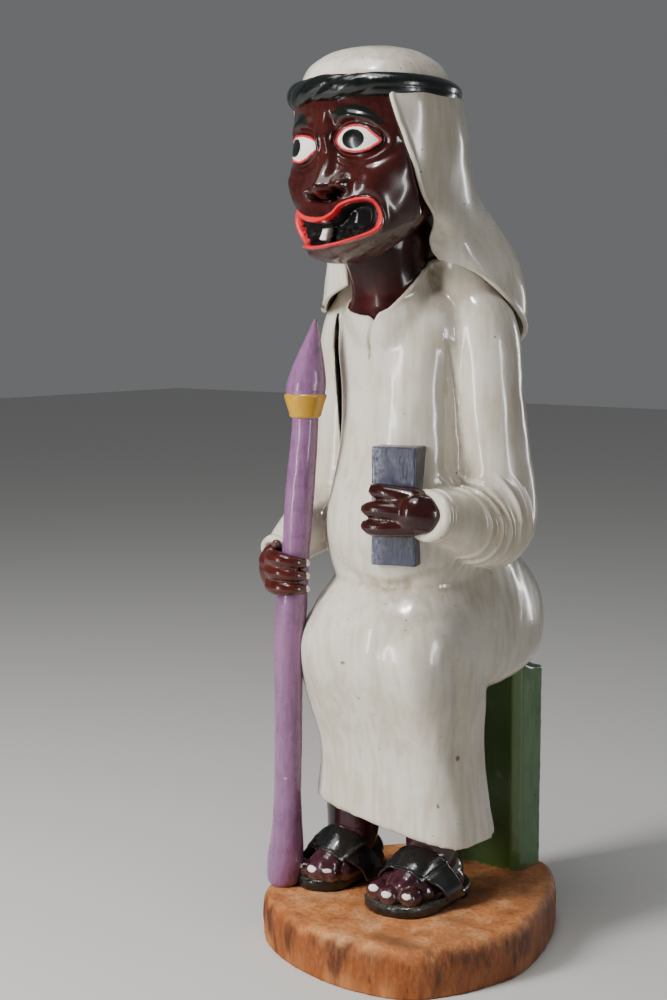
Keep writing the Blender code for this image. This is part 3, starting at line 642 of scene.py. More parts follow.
def foot(name, toes, nails, ankle, material):
    """The toes, instep, ankle and heel as round bars fused into one skin; a nail is where a point lies
    within a flattened ball on a toe's top, and stands a little proud."""
    thick = SOLE_THICK
    grids = []
    for x, y, radius in toes:
        grids.append(bar([
            (x + 0.1, y + 5.0, thick + 1.6, 1.05 * radius), (x, y + 3.0, thick + 1.3, 0.94 * radius),
            (x, y + 1.6, thick + 0.85, 0.84 * radius), (x, y + 0.5, thick + 0.72, 0.98 * radius),
            (x, y - 0.25, thick + 0.66, 0.94 * radius),
        ], ends=(1.0, 0.72)))
    x, y = ankle
    grids.append(bar([(x, y - 4.4, thick + 1.2, 2.3), (x, y - 1.8, 4.0, 2.85), (x, y + 0.6, 6.0, 3.2),
                      (x, y + 0.8, 10.6, 3.4)], sides=48))
    grids.append(bar([(x - 1.6, y - 3.6, thick + 0.9, 1.7), (x - 1.4, y + 2.6, thick + 0.9, 1.7)]))
    grids.append(bar([(x + 1.6, y - 3.2, thick + 0.8, 1.6), (x + 1.5, y + 2.6, thick + 0.8, 1.6)]))
    grids.append(bar([(x, y + 0.5, 3.2, 3.0), (x, y + 3.0, 2.9, 2.5)], sides=40))
    mesh = fused(name, grids, FOOT_GRAIN, 4)
    places, facing = points_of(mesh)
    spots = to_shares(places)
    nail = np.full(len(places), -1.0)
    for nx, ny, nz, wide in nails:
        away = np.sqrt(((spots[:, 0] - nx) / wide) ** 2 + ((spots[:, 1] - ny) / 0.9) ** 2
                       + ((spots[:, 2] - nz) / (0.55 * wide)) ** 2)
        nail = np.maximum(nail, (1 - away) * 0.5 * wide)
    move_points(mesh, places + facing * (TOENAIL_HIGH * SHARE * rise(nail, 0.04))[:, None])
    low = np.exp(-((spots[:, 2] - thick) / 0.7) ** 2) * 0.8
    store(mesh, nail=nail, hollow=np.clip(hollows(mesh) + low, 0, 1))
    return piece_of(name, mesh, material)


foot_material = nail_paint("purple_brown_enamel", "#43202A", "#2E141A")
foot("left_foot", LEFT_TOES, LEFT_NAILS, LEFT_ANKLE, foot_material)
foot("right_foot", RIGHT_TOES, RIGHT_NAILS, RIGHT_ANKLE, foot_material)


# Sandals
# A thick sole under each foot with a lower heel block, a broad band over the instep and a plate laid on
# the band, all cut from the same wood and painted satin black. Tan dust lies on the sole's upper rim.
BAND_THICK = 0.42
BAND_GAP = 0.30
PLATE_THICK = 0.40
PLATE_GAP = 0.16
LEFT_SOLE = (
    (-2.6, -4.6), (-1.0, -6.9), (2.0, -7.7), (5.2, -6.5), (6.6, -2.6), (6.6, 1.4), (5.4, 5.4),
    (3.0, 7.6), (0.4, 7.4), (-1.2, 4.6), (-2.2, 0.0),
)
RIGHT_SOLE = (
    (-13.5, -4.6), (-11.6, -6.1), (-9.4, -5.9), (-7.4, -3.4), (-6.6, 0.0), (-7.0, 3.6), (-8.2, 6.6),
    (-10.6, 7.4), (-12.4, 5.8), (-13.4, 2.4), (-13.9, -1.4),
)
# Nets of places in rows, from the toes up the instep; the right foot's are the same, moved over.
LEFT_BAND = (
    ((-1.9, -3.5, 1.2), (-1.5, -3.7, 3.1), (0.0, -3.9, 4.4), (2.5, -4.1, 4.5), (5.3, -3.4, 3.7),
     (6.5, -2.3, 2.6), (6.9, -1.6, 1.1)),
    ((-1.9, -2.0, 1.2), (-1.4, -2.5, 3.7), (0.4, -2.9, 5.4), (2.8, -2.7, 5.7), (5.4, -1.7, 4.8),
     (6.8, -0.7, 2.9), (7.1, 0.1, 1.1)),
    ((-1.8, -0.4, 1.2), (-1.2, -1.1, 4.2), (1.0, -1.9, 6.4), (3.2, -1.3, 6.7), (5.6, -0.3, 5.3),
     (6.9, 0.9, 3.0), (7.1, 1.6, 1.1)),
)
LEFT_PLATE = (
    ((-0.5, -4.0, 4.3), (0.9, -4.2, 4.7), (2.3, -4.3, 4.6), (3.8, -4.3, 4.3), (5.2, -4.2, 3.8)),
    ((0.1, -3.1, 5.5), (1.5, -3.2, 5.9), (2.9, -3.1, 5.8), (4.2, -2.9, 5.4), (5.6, -2.4, 4.7)),
    ((0.9, -2.1, 6.6), (2.3, -2.1, 6.9), (3.5, -1.6, 6.7), (4.7, -1.0, 6.2), (5.9, -0.3, 5.4)),
)
TO_RIGHT_FOOT = (-12.1, 0.15, -0.1)


def net(rows, down, across):
    """A smooth surface through a net of places: first along each row, then from row to row."""
    along = np.stack([through(row, across) for row in np.asarray(rows, float)])
    flat = through(along.reshape(len(rows), -1), down)
    return flat.reshape(down, across, 3)


def cells(rows, columns):
    """The numbers of the four points round each cell of a grid."""
    index = np.arange(rows * columns).reshape(rows, columns)
    return np.stack([index[:-1, :-1], index[1:, :-1], index[1:, 1:], index[:-1, 1:]], axis=-1).reshape(-1, 4)


def over(points, solids, gap):
    """Moves a grid's points that lie in a solid, or within the gap of it, out to stand the gap clear."""
    mesh = bpy.data.meshes.new("draft")
    faces = cells(*points.shape[:2])[:, ::-1]
    mesh.from_pydata(to_metres(points).reshape(-1, 3).tolist(), [], faces.tolist())
    draft = link_object("draft", mesh)
    for solid in solids:
        wrap = draft.modifiers.new("over", "SHRINKWRAP")
        wrap.target = solid
        wrap.wrap_mode = "OUTSIDE"
        wrap.offset = gap * SHARE
    result = reshaped(draft)
    places = to_shares(points_of(result)[0]).reshape(points.shape)
    bpy.data.meshes.remove(result)
    return places


def eased(points, passes):
    """A grid's inner points moved half way to the middle of the four beside them, again and again."""
    points = points.copy()
    for _ in range(passes):
        near = (points[:-2, 1:-1] + points[2:, 1:-1] + points[1:-1, :-2] + points[1:-1, 2:]) / 4
        points[1:-1, 1:-1] += 0.5 * (near - points[1:-1, 1:-1])
    return points


def sheet_skin(name, points, thick, bead=0.0, open_top=False):
    """A sheet's two faces stand half its thickness to either side of the grid, and that half falls to
    nothing in a quarter circle at the border, which rounds the edge; a bead swells it just inside. An
    open top is joined straight across instead."""
    rows, columns = points.shape[:2]
    down, across = np.gradient(points, axis=0), np.gradient(points, axis=1)
    facing = np.cross(across, down)
    facing /= np.linalg.norm(facing, axis=-1, keepdims=True) + 1e-12
    step_across = np.linalg.norm(np.diff(points, axis=1), axis=-1)
    step_down = np.linalg.norm(np.diff(points, axis=0), axis=-1)
    from_left = np.concatenate([np.zeros((rows, 1)), np.cumsum(step_across, axis=1)], axis=1)
    from_top = np.concatenate([np.zeros((1, columns)), np.cumsum(step_down, axis=0)], axis=0)
    away = np.minimum(from_left, from_left[:, -1:] - from_left)
    away = np.minimum(away, from_top[-1:] - from_top)
    if not open_top:
        away = np.minimum(away, from_top)
    half = thick / 2
    inside = 1 - np.clip(away / half, 0, 1)
    depth = half * np.sqrt(np.clip(1 - inside ** 2, 0, 1))
    depth = depth * (1 + bead * np.exp(-((away - 1.2 * half) / half) ** 2))
    outer, inner = points + facing * depth[..., None], points - facing * depth[..., None]
    quads = cells(rows, columns)
    faces = quads.tolist() + (quads[:, ::-1] + rows * columns).tolist()
    if open_top:
        top = np.arange(columns)
        under = top + rows * columns
        faces += np.stack([top[1:], under[1:], under[:-1], top[:-1]], axis=-1).tolist()
    mesh = bpy.data.meshes.new(name)
    mesh.from_pydata(to_metres(np.concatenate([outer, inner]).reshape(-1, 3)).tolist(), [], faces)
    return tidy(mesh)


def clustered(count):
    """Shares from 0 to 1 gathered towards both ends, where a sheet's edges turn quickly."""
    even = np.linspace(0, 1, count)
    crowded = 0.5 - 0.5 * np.cos(math.pi * even)
    return 0.35 * even + 0.65 * crowded


def resampled(points, count_down, count_across):
    """A grid read again at places gathered towards its borders, straight between its own points."""
    rows, columns = points.shape[:2]
    at_down = clustered(count_down) * (rows - 1)
    at_across = clustered(count_across) * (columns - 1)
    row = np.minimum(at_down.astype(int), rows - 2)
    column = np.minimum(at_across.astype(int), columns - 2)
    row_part, column_part = (at_down - row)[:, None, None], (at_across - column)[None, :, None]
    upper = points[row][:, column] * (1 - column_part) + points[row][:, column + 1] * column_part
    lower = points[row + 1][:, column] * (1 - column_part) + points[row + 1][:, column + 1] * column_part
    return upper * (1 - row_part) + lower * row_part


def sole(name, outline, heel_at, material):
    """The sole's outline carried up a wall with rounded edges and in across a slightly dished top; the
    lower half of the wall is cut back ahead of the heel."""
    line = through(outline, 260, closed=True)
    away = line - line.mean(axis=0)
    away /= np.linalg.norm(away, axis=1, keepdims=True)
    thick = SOLE_THICK
    profile = np.array([
        (-0.40, -0.30), (-0.05, -0.25), (0.08, -0.08), (0.20, 0.0), (0.45, 0.03), (0.70, 0.04), (0.95, 0.03),
        (1.15, 0.0), (1.28, -0.07), (1.36, -0.18), (thick, -0.34), (thick, -0.7), (thick - 0.03, -1.2),
        (thick - 0.04, -1.8), (thick - 0.04, -2.6),
    ])
    rings = line[None] + away[None] * profile[:, 1][:, None, None]
    levels = np.repeat(profile[:, :1], len(line), axis=1)
    ahead = heel_at - line[None, :, 1]
    arch = rise(ahead, 0.12) * rise(5.5 - ahead, 0.6) * rise(0.62 - levels, 0.05)
    rings = rings - away[None] * (0.55 * arch)[..., None]
    points = np.concatenate([rings, levels[..., None]], axis=-1)
    points[..., :2] += away[None] * (0.035 * ripple(points, 1.1, 31))[..., None]
    mesh = grid_mesh(name, to_metres(points))
    rim = (levels - thick + 0.06) + 0.15 * ripple(points, 0.5, 32)
    scuff = np.clip(ripple(points, 0.9, 33), 0, 1) * rise(levels - 0.9, 0.1)
    store(mesh, rim=rim, scuff=scuff)
    return piece_of(name, tidy(mesh), material)


def black_satin(name, light="#17191A", deep="#0A0B0C", shine=0.33):
    """Satin black enamel over carved wood, scuffed and dusty on its upper faces."""
    material, tree, shader, spot, tone = gloss_paint(name, light, deep, 0.020, shine, 0.16, (1, 1, 1))
    tone = broken(tree, spot, tone, "#5A5A4C", "scuff", (520.0, 6.0, 0.7), 0.42, 0.66)
    return material, tree, shader, spot, tone


sole_material, tree, shader, spot, tone = black_satin("black_satin_sole")
tone = painted(tree, spot, tone, "#4C4638", "rim", soft=0.14, waver=0.35)
tree.links.new(tone, shader.inputs["Base Color"])
strap_material, tree, shader, spot, tone = black_satin("black_satin_strap", shine=0.24)
tree.links.new(tone, shader.inputs["Base Color"])
sole("left_sole", LEFT_SOLE, 3.4, sole_material)
sole("right_sole", RIGHT_SOLE, 3.6, sole_material)


def strap_and_plate(side, shift, dusty):
    """The band over the instep, a sheet through its net stood clear of the foot, and the plate on it."""
    carrier = bpy.data.objects[side + "_foot"]
    band = eased(over(net(np.array(LEFT_BAND) + shift, 30, 70), [carrier], BAND_GAP), 6)
    mesh = sheet_skin(side + "_band", resampled(band, 40, 90), BAND_THICK)
    store(mesh, scuff=np.full(len(mesh.vertices), 0.05 + 0.1 * dusty))
    strap = piece_of(side + "_band", mesh, strap_material)
    plate = eased(over(net(np.array(LEFT_PLATE) + shift, 24, 40), [carrier, strap], PLATE_GAP), 5)
    mesh = sheet_skin(side + "_plate", resampled(plate, 44, 60), PLATE_THICK)
    spots = to_shares(points_of(mesh)[0])
    store(mesh, scuff=np.clip(dusty * (0.55 + 0.5 * ripple(spots, 1.4, 41)) + 0.05, 0, 1))
    piece_of(side + "_plate", mesh, strap_material)


strap_and_plate("left", (0.0, 0.0, 0.0), 0.15)
strap_and_plate("right", TO_RIGHT_FOOT, 0.8)


# Robe
# The long shirt is the body of the carving: belly and chest, lap, skirt and sleeves cut as one rounded
# form, with a knife-cut neckline, pleats at the left elbow and folds where the limbs meet. It is painted
# in thick off-white gloss, and the bare neck that rises out of it in the skin's brown.
ROBE_GRAIN = 0.0022
# The rings of the body's forms: height, middle across and back, half width, half depth, squareness and
# slope. The rows of sleeves and neck are places and radii.
TORSO = (
    (35.0, -1.5, 6.0, 9.6, 10.0, 2.2, 0), (39.0, -1.5, 3.2, 9.2, 9.6, 2.2, 0),
    (42.0, -1.5, 1.9, 9.3, 9.6, 2.1, 0), (46.0, -1.5, 1.5, 9.4, 9.7, 2.1, 0),
    (50.0, -1.5, 2.0, 8.9, 9.2, 2.1, 0), (55.0, -1.5, 2.8, 8.3, 8.5, 2.3, 0),
    (61.0, -1.5, 3.1, 8.2, 8.3, 2.5, 0), (66.0, -1.5, 3.2, 8.8, 8.2, 2.6, 0),
    (69.5, -1.5, 3.4, 8.6, 8.3, 2.4, 0), (72.0, -1.5, 3.6, 7.0, 7.2, 2.2, 0),
    (73.5, -1.5, 3.6, 4.5, 5.0, 2.0, 0),
)
LAP = (
    (25.6, -1.5, 4.2, 8.9, 11.6, 2.5, 0), (26.8, -1.5, 5.7, 10.0, 13.7, 2.6, 0),
    (28.6, -1.6, 6.2, 10.9, 15.2, 2.7, 0), (31.5, -1.7, 6.3, 11.2, 16.0, 2.8, 0),
    (35.0, -1.7, 6.5, 10.9, 15.6, 2.7, 0), (38.0, -1.6, 6.9, 10.0, 13.8, 2.5, 0),
    (41.0, -1.5, 6.8, 8.8, 10.4, 2.3, 0), (43.5, -1.5, 6.0, 7.0, 7.0, 2.2, 0),
)
SKIRT = (
    (9.4, -1.5, 1.3, 11.2, 7.0, 3.0, 0.02), (10.6, -1.5, 1.2, 11.0, 6.9, 3.0, 0.02),
    (14.0, -1.5, 0.9, 10.5, 6.6, 3.0, 0.01), (19.0, -1.6, 0.5, 10.2, 6.7, 3.0, 0),
    (24.0, -1.9, -0.2, 10.8, 7.6, 3.0, 0), (28.0, -1.8, -0.8, 10.9, 8.4, 3.0, 0),
    (31.5, -1.8, -0.6, 11.0, 9.0, 2.8, 0), (34.5, -1.7, 0.4, 10.4, 9.0, 2.6, 0),
    (36.8, -1.6, 1.8, 8.8, 8.0, 2.3, 0),
)
LEFT_SLEEVE = (
    (4.6, 3.2, 71.0, 3.3), (7.2, 3.9, 68.0, 4.2), (7.9, 4.3, 60.0, 4.3), (8.4, 4.9, 53.0, 4.4),
    (8.8, 5.2, 47.5, 4.7), (8.6, 4.6, 45.0, 4.6), (8.3, 1.5, 45.4, 4.1), (7.8, -2.0, 46.6, 3.5),
    (7.4, -5.0, 47.2, 2.80), (7.3, -6.2, 47.4, 2.50),
)
RIGHT_SLEEVE = (
    (-7.6, 3.2, 71.0, 3.3), (-10.4, 3.2, 68.0, 4.1), (-11.3, 3.0, 60.0, 4.0), (-12.0, 3.2, 53.0, 4.1),
    (-12.2, 3.0, 47.5, 4.3), (-12.3, 1.5, 45.5, 4.2), (-12.6, -2.5, 44.4, 3.6), (-12.9, -5.8, 42.8, 2.9),
    (-13.2, -7.3, 41.9, 2.4),
)
NECK = (
    (-1.5, 1.0, 66.0, 5.6), (-1.5, -0.9, 70.4, 6.0), (-1.5, -1.7, 72.6, 5.0), (-1.5, -2.5, 74.8, 4.7),
    (-1.6, -3.4, 78.0, 5.2),
)
# The hem's height by the place across the figure: it sinks from the right corner to the left one. The
# skirt above HEM_FROM doesn't follow it.
HEM_FROM = 19.0
HEM = ((-12.6, 11.5), (-7.8, 11.0), (-3.0, 10.4), (0.0, 10.0), (2.8, 9.5), (5.3, 9.0), (7.6, 8.3), (9.6, 7.9))
UNDER_CAPE = (
    (66.5, -1.5, 5.6, 11.0, 5.7, 2.4, 0), (68.5, -1.5, 5.0, 11.2, 6.5, 2.5, 0),
    (71.5, -1.6, 4.7, 11.0, 7.2, 2.8, 0), (75.5, -1.5, 5.4, 9.8, 7.5, 2.8, 0),
    (79.0, -1.5, 4.2, 8.2, 7.2, 2.6, 0), (83.0, -1.5, 1.4, 7.5, 6.3, 2.3, 0),
    (88.0, -1.5, -1.2, 7.6, 6.3, 2.2, 0), (93.0, -1.5, -2.6, 7.8, 6.6, 2.2, 0),
)
# The narrow slot between the right sleeve and the body.
ARM_SLOT = (
    (49.0, -9.6, -2.0, 0.08, 6.0, 2.0, 0), (54.0, -9.7, -2.0, 0.30, 6.0, 2.0, 0),
    (60.0, -9.85, -2.0, 0.42, 6.0, 2.0, 0), (66.0, -10.15, -2.0, 0.50, 6.0, 2.0, 0),
    (68.6, -10.3, -2.0, 0.28, 6.0, 2.0, 0), (69.8, -10.35, -2.0, 0.05, 6.0, 2.0, 0),
)
# The neckline's height by the angle round NECK_AXIS: 0 in front, and above 0 to the figure's left. The
# skin further than BARE_REACH from NECK_MIDDLE is cloth all the same.
NECK_AXIS = (-1.5, 1.0)
NECK_MIDDLE = (-1.5, 0.5)
BARE_REACH = 8.5
NECKLINE = (
    (-180, 79.0), (-110, 77.5), (-85, 75.2), (-67, 72.8), (-50, 71.3), (-36, 70.5), (-25, 70.1),
    (-10, 69.75), (1.5, 69.6), (5.5, 69.35), (7.6, 69.05), (9.5, 69.6), (12, 70.0), (20.4, 70.5),
    (30.5, 71.7), (42.5, 73.2), (55.7, 74.7), (84, 76.1), (100, 77.6), (180, 79.0),
)
# The cloth's step down onto the bare neck, and the share of the gloss that the neck's enamel mirrors.
NECK_STEP = 0.26
NECK_MIRRORS = 0.35
NECK_SLIT = ((-0.6, -6.4, 69.2), (-1.3, -6.1, 67.7), (-2.0, -5.5, 66.3), (-2.3, -5.0, 64.7))
# Each fold: its line, its depth, its half width and the share of its length that fades at the ends. Two
# lie between arm and chest, one under the belly and one down the side of the lap.
FOLDS = (
    (((6.0, -2.0, 68.1), (6.2, -1.4, 63.5), (6.1, -0.8, 60.1), (6.4, -0.3, 56.6), (6.7, 0.0, 53.2),
      (6.3, -1.0, 50.8)), 0.40, 1.9, 0.12),
    (((6.4, -1.5, 66.9), (6.45, -0.7, 63.5), (6.5, 0.0, 60.1), (6.7, 0.4, 56.6), (7.0, 0.5, 52.6)),
     0.26, 0.34, 0.12),
    (((-5.5, -6.4, 40.4), (-2.4, -6.6, 39.4), (1.0, -6.2, 38.7), (3.2, -5.4, 39.1), (5.3, -4.3, 40.2),
      (7.5, -2.0, 41.5)), 0.42, 0.75, 0.12),
    (((9.1, -3.2, 33.5), (9.0, -2.7, 27.1), (8.6, -2.1, 21.7), (8.5, -1.9, 15.0)), 0.55, 1.35, 0.3),
)
# Each knee's ridge: its place across, its half width and its height.
KNEES = ((6.3, 1.9, 0.42), (0.7, 1.5, 0.26), (-5.6, 2.1, 0.40))
# The middle of the left elbow across and up, and the height at which the pleats' arcs turn. Each pleat:
# its place back from the arcs' first line, and its height.
ELBOW = (8.3, 45.6)
PLEATS_LEVEL = 46.5
PLEATS = ((-0.7, 0.30), (0.7, 0.50), (1.9, 0.56), (3.3, 0.52), (4.9, 0.40))
# Boxes, by their low and high corners, where small cuts need a finer skin: the slit in front, the left
# forearm with its pleats, and the fold beside the left arm.
FINE_BOXES = (
    ((-2.9, -30, 64.2), (0.1, -3, 70)), ((6, -30, 40.5), (30, 7, 51.7)), ((5.9, -30, 51), (7.4, 2, 68)),
)
# Where paint is lost: the middle and the radius of each chip.
ROBE_CHIPS = (
    ((-2.5, -9.6, 29.8), 0.26), ((8.5, -1.7, 18.7), 0.30), ((7.2, -4.1, 13.4), 0.22),
    ((-3.4, -9.2, 28.6), 0.16), ((-2.5, -5.2, 60.9), 0.12),
)


def loft(rings, rows=60, columns=96, shape=None):
    """A body through level sections: each ring has its height, middle, half width and depth, squareness
    and slope, and is a superellipse, whose cosine and sine are raised to 2 / squareness."""
    table = through(rings, rows)
    height, x, y, wide, deep, square, slope = (table[:, [i]] for i in range(7))
    turn = np.linspace(0, 2 * math.pi, columns, endpoint=False)[None, :]
    cosine, sine = np.cos(turn), np.sin(turn)
    swell = 1.0 if shape is None else shape(turn + 0 * height, height + 0 * turn)
    across = wide * np.sign(cosine) * np.abs(cosine) ** (2 / square) * swell
    back = deep * np.sign(sine) * np.abs(sine) ** (2 / square) * swell
    return np.stack([x + across, y + back, height + slope * back], axis=-1)


def open_front(turn, height):
    """The swell of the cloth round the head: drawn in before the neck, and full behind it."""
    away = np.angle(np.exp(1j * (turn + math.radians(78))))
    return 1 - 0.34 * np.exp(-((away / 0.75) ** 2)) * rise(84 - height, 1.5)


def finer(mesh, near):
    """Splits the faces in two each way where the test on their places holds, and eases them."""
    work = bmesh.new()
    work.from_mesh(mesh)
    keep = near(to_shares(np.array([vertex.co for vertex in work.verts])))
    edges = [e for e in work.edges if keep[e.verts[0].index] and keep[e.verts[1].index]]
    split = bmesh.ops.subdivide_edges(work, edges=edges, cuts=1, use_grid_fill=True)
    fresh = [item for item in split["geom_inner"] if isinstance(item, bmesh.types.BMVert)]
    ways = {"use_axis_x": True, "use_axis_y": True, "use_axis_z": True}
    for _ in range(3):
        bmesh.ops.smooth_vert(work, verts=fresh, factor=0.5, **ways)
    work.to_mesh(mesh)
    work.free()


def from_line(places, line, count=70):
    """How far each place stands from a smooth line through the given ones, and how far along the line
    its nearest point is, from 0 to 1."""
    nearest, along = np.full(len(places), np.inf), np.zeros(len(places))
    for index, sample in enumerate(through(line, count)):
        distance = np.linalg.norm(places - sample, axis=1)
        closer = distance < nearest
        nearest[closer], along[closer] = distance[closer], index / (count - 1)
    return nearest, along


def groove(places, line, depth, wide, fade=0.12):
    """A cut along a line, -depth at its middle and falling off as e^-(distance / width)^2, which dies
    away towards both of the line's ends."""
    nearest, along = from_line(places, line)
    ends = rise(along - fade / 2, fade / 6) * rise(1 - fade / 2 - along, fade / 6)
    return -depth * np.exp(-((nearest / wide) ** 2)) * ends


def ridge(distance, wide):
    """A rounded ridge along a line: e^-(distance / width)^2."""
    return np.exp(-((distance / wide) ** 2))


def in_balls(spots, balls, squeeze=(1, 1, 1)):
    """How far each place lies inside the nearest of some balls: a ball's radius less the distance to its
    middle, which is divided by the squeeze along each way."""
    deep = [size - np.linalg.norm((spots - middle) / squeeze, axis=-1) for middle, size in balls]
    return np.max(deep, axis=0)


def white_gloss(name):
    """Off-white household gloss, brushed on thick over the carved wood: yellowed in broad patches, with
    fine upright brush marks, brown painted shade in the creases and cuts, and small brown specks."""
    material, tree, shader, spot, tone = gloss_paint(name, "#DED6C9", "#CCC1AD", 0.045, 0.22, 0.10)
    yellowed = ranged(tree, noise(tree, spot, 17.0, 5.0, 0.6), 0.50, 0.72, to_high=0.40)
    tone = mixed(tree, yellowed, tone, "#C2B28E")
    # Painted shade: a brown darkening where the skin is hollow.
    tone = broken(tree, spot, tone, "#8E7C5B", "hollow", (210.0, 5.0), 0.25, 0.60)
    tone = mixed(tree, ranged(tree, noise(tree, spot, 300.0, 1.0), 0.765, 0.80), tone, "#6B5236")
    return material, tree, shader, spot, tone


def neckline(x, y):
    """The border's height, read from NECKLINE by the angle round the neck."""
    angle = np.degrees(np.arctan2(x - NECK_AXIS[0], NECK_AXIS[1] - y))
    return np.interp(angle, [at for at, _ in NECKLINE], [high for _, high in NECKLINE])


def robe_paint():
    """The white gloss, bare where it is chipped, with painted shade dark on the walls of the slot, and the
    skin's brown above the neckline, where the enamel mirrors less than the thick gloss does."""
    material, tree, shader, spot, tone = white_gloss("off_white_gloss_robe")
    tone = painted(tree, spot, tone, "#8A6A3A", "chip", soft=0.08, waver=0.3)
    # Painted shade: the slot's walls are painted dark brown.
    tone = painted(tree, spot, tone, "#33291F", "slot", soft=0.4, waver=0.2)
    skin = mixed(tree, ranged(tree, noise(tree, spot, 60.0, 5.0), 0.35, 0.65), "#250F0F", "#3D1716")
    tone = painted(tree, spot, tone, skin, "bare_neck", soft=0.05, waver=0.08)
    for socket in ("Specular IOR Level", "Coat Weight"):
        full = shader.inputs[socket].default_value
        level = ranged(tree, kept(tree, "bare_neck"), 0.0, 0.1, full, NECK_MIRRORS * full)
        tree.links.new(level, shader.inputs[socket])
    tree.links.new(tone, shader.inputs["Base Color"])
    return material


def robe():
    """Lofts and bars fused into one skin, with the slot cut through it and split finer where small cuts
    lie. Then its points are pushed in or out: the neck is sunk behind the neckline by a step, slit and
    folds are grooves, and knees and pleats are ridges."""
    skirt = loft(SKIRT, 80)
    low = SKIRT[0][0]
    drop = np.interp(skirt[..., 0], [at for at, _ in HEM], [height for _, height in HEM]) - low
    skirt[..., 2] += drop * np.clip((HEM_FROM - skirt[..., 2]) / (HEM_FROM - low), 0, 1)
    sleeves = [bar(path, 60, 48, ends=(1.0, 0.15)) for path in (LEFT_SLEEVE, RIGHT_SLEEVE)]
    grids = [loft(TORSO), loft(LAP), skirt, *sleeves, bar(NECK, 30, 48), loft(UNDER_CAPE, shape=open_front)]
    whole = link_object("robe", fused("robe", grids, ROBE_GRAIN, 9))
    knife = link_object("slot", joined("slot", [loft(ARM_SLOT, 40, 48)]))
    cut = whole.modifiers.new("slot", "BOOLEAN")
    cut.object = knife
    mesh = reshaped(whole)
    bpy.data.objects.remove(knife)
    mesh.name = "robe"

    def worked(spots):
        """Where small cuts need a finer skin: along the neckline and in the boxes."""
        beside = np.abs(spots[:, 2] - neckline(spots[:, 0], spots[:, 1])) < 0.9
        beside &= np.hypot(spots[:, 0] - NECK_MIDDLE[0], spots[:, 1] - NECK_MIDDLE[1]) < BARE_REACH + 0.2
        in_boxes = [np.all((spots > low) & (spots < high), axis=1) for low, high in FINE_BOXES]
        return beside | np.any(in_boxes, axis=0)

    finer(mesh, worked)
    places, facing = points_of(mesh)
    spots = to_shares(places)
    x, y, z = spots.T
    # The neckline: a step down onto the bare neck, and a low welt along the cloth's border.
    neck = z - neckline(x, y)
    around = rise(BARE_REACH - np.hypot(x - NECK_MIDDLE[0], y - NECK_MIDDLE[1]), 0.2)
    lift = (0.10 * ridge(neck + 0.35, 0.3) - NECK_STEP * rise(neck, 0.09)) * around
    lift += groove(spots, NECK_SLIT, 0.36, 0.16, 0.10)
    for line, depth, wide, fade in FOLDS:
        lift += groove(spots, line, depth, wide, fade)
    # The knees' ridges run from the lap's front down the skirt.
    tall = ridge(z - 29.5, 5.5) + 0.35 * rise(27 - z, 2.5) * rise(z - 12, 1.5)
    for across, wide, high in KNEES:
        lift += high * ridge(x - across, wide) * tall * rise(-3.5 - y, 0.8)
    # Pleats: arcs across the forearm just ahead of the elbow, on its outer and upper side.
    arm = np.hypot(x - ELBOW[0], 0.9 * (z - ELBOW[1]))
    bend = y + 0.055 * (z - PLEATS_LEVEL) ** 2 + 0.10 * (z - PLEATS_LEVEL)
    on_arm = rise(6.2 - arm, 0.3) * rise(51.5 - z, 0.3) * rise(x - 6.5, 0.5) * rise(z - 40.8, 0.4)
    for back, high in PLEATS:
        lift += high * ridge(bend - back, 0.27) * on_arm
    lift += 0.030 * ripple(spots, 5.0, 51) + 0.018 * ripple(spots * np.array([1, 1, 0.5]), 1.8, 52)
    move_points(mesh, places + facing * (lift * SHARE)[:, None])
    # Painted shade: the robe's creases and the line of the neck slit are darkened, kept as the hollow number.
    grime = 0.6 * hollows(mesh, 4) + 0.95 * ridge(from_line(spots, NECK_SLIT)[0], 0.17)
    # Where the slot's walls lie, for the painted shade on them.
    levels, middles, halves = (np.array(ARM_SLOT)[:, column] for column in (0, 1, 3))
    half = np.interp(z, levels, halves, left=-1, right=-1)
    slot_shade = rise(half + 0.07 - np.abs(x - np.interp(z, levels, middles)), 0.03)
    store(mesh, bare_neck=np.where(around > 0.5, neck, -1.0), hollow=np.clip(grime, 0, 1),
          slot=slot_shade - 0.5, chip=in_balls(spots, ROBE_CHIPS))
    return piece_of("robe", mesh, robe_paint())


robe_piece = robe()


# Head
# The bare head, thrust forward: a narrow skull with staring eyes under painted brows, a broad nose and a
# wide open mouth with one tooth. All is cut in the round and painted in glossy oxblood brown, with the
# eyes, lips, tooth and brows brushed on in single strokes.
HEAD_X = -1.5
HEAD_Y = -4.9
HEAD_TURN = 6.0
MOUTH_HALF = 8.1
# The skull's rings: height, middle back, half width and half depth. Outlines on the face are given by the
# place across, to the figure's left of its middle line, and the height.
SKULL = (
    (75.4, -4.4, 1.6, 2.0), (76.2, -3.5, 4.2, 4.7), (78.2, -2.5, 6.6, 6.4), (80.5, -1.5, 8.1, 7.2),
    (83.0, -0.7, 9.0, 8.0), (86.0, -0.3, 9.4, 8.4), (90.0, -0.1, 9.5, 8.6), (93.4, 0.0, 9.0, 8.6),
    (94.6, 0.0, 8.0, 8.0), (96.5, 0.0, 6.0, 6.0),
)
LEFT_EYE = (
    (2.2, 88.6), (2.6, 89.4), (3.35, 89.95), (4.4, 90.1), (5.4, 89.85), (6.1, 89.25), (6.75, 88.5),
    (6.2, 87.95), (5.5, 87.55), (4.4, 87.4), (3.2, 87.6), (2.5, 88.05),
)
RIGHT_EYE = (
    (-1.2, 88.2), (-1.8, 88.9), (-2.7, 89.3), (-3.9, 89.5), (-5.2, 89.5), (-6.4, 89.1), (-7.2, 88.3),
    (-6.5, 87.4), (-5.5, 86.95), (-4.3, 86.7), (-2.9, 87.0), (-1.8, 87.6),
)
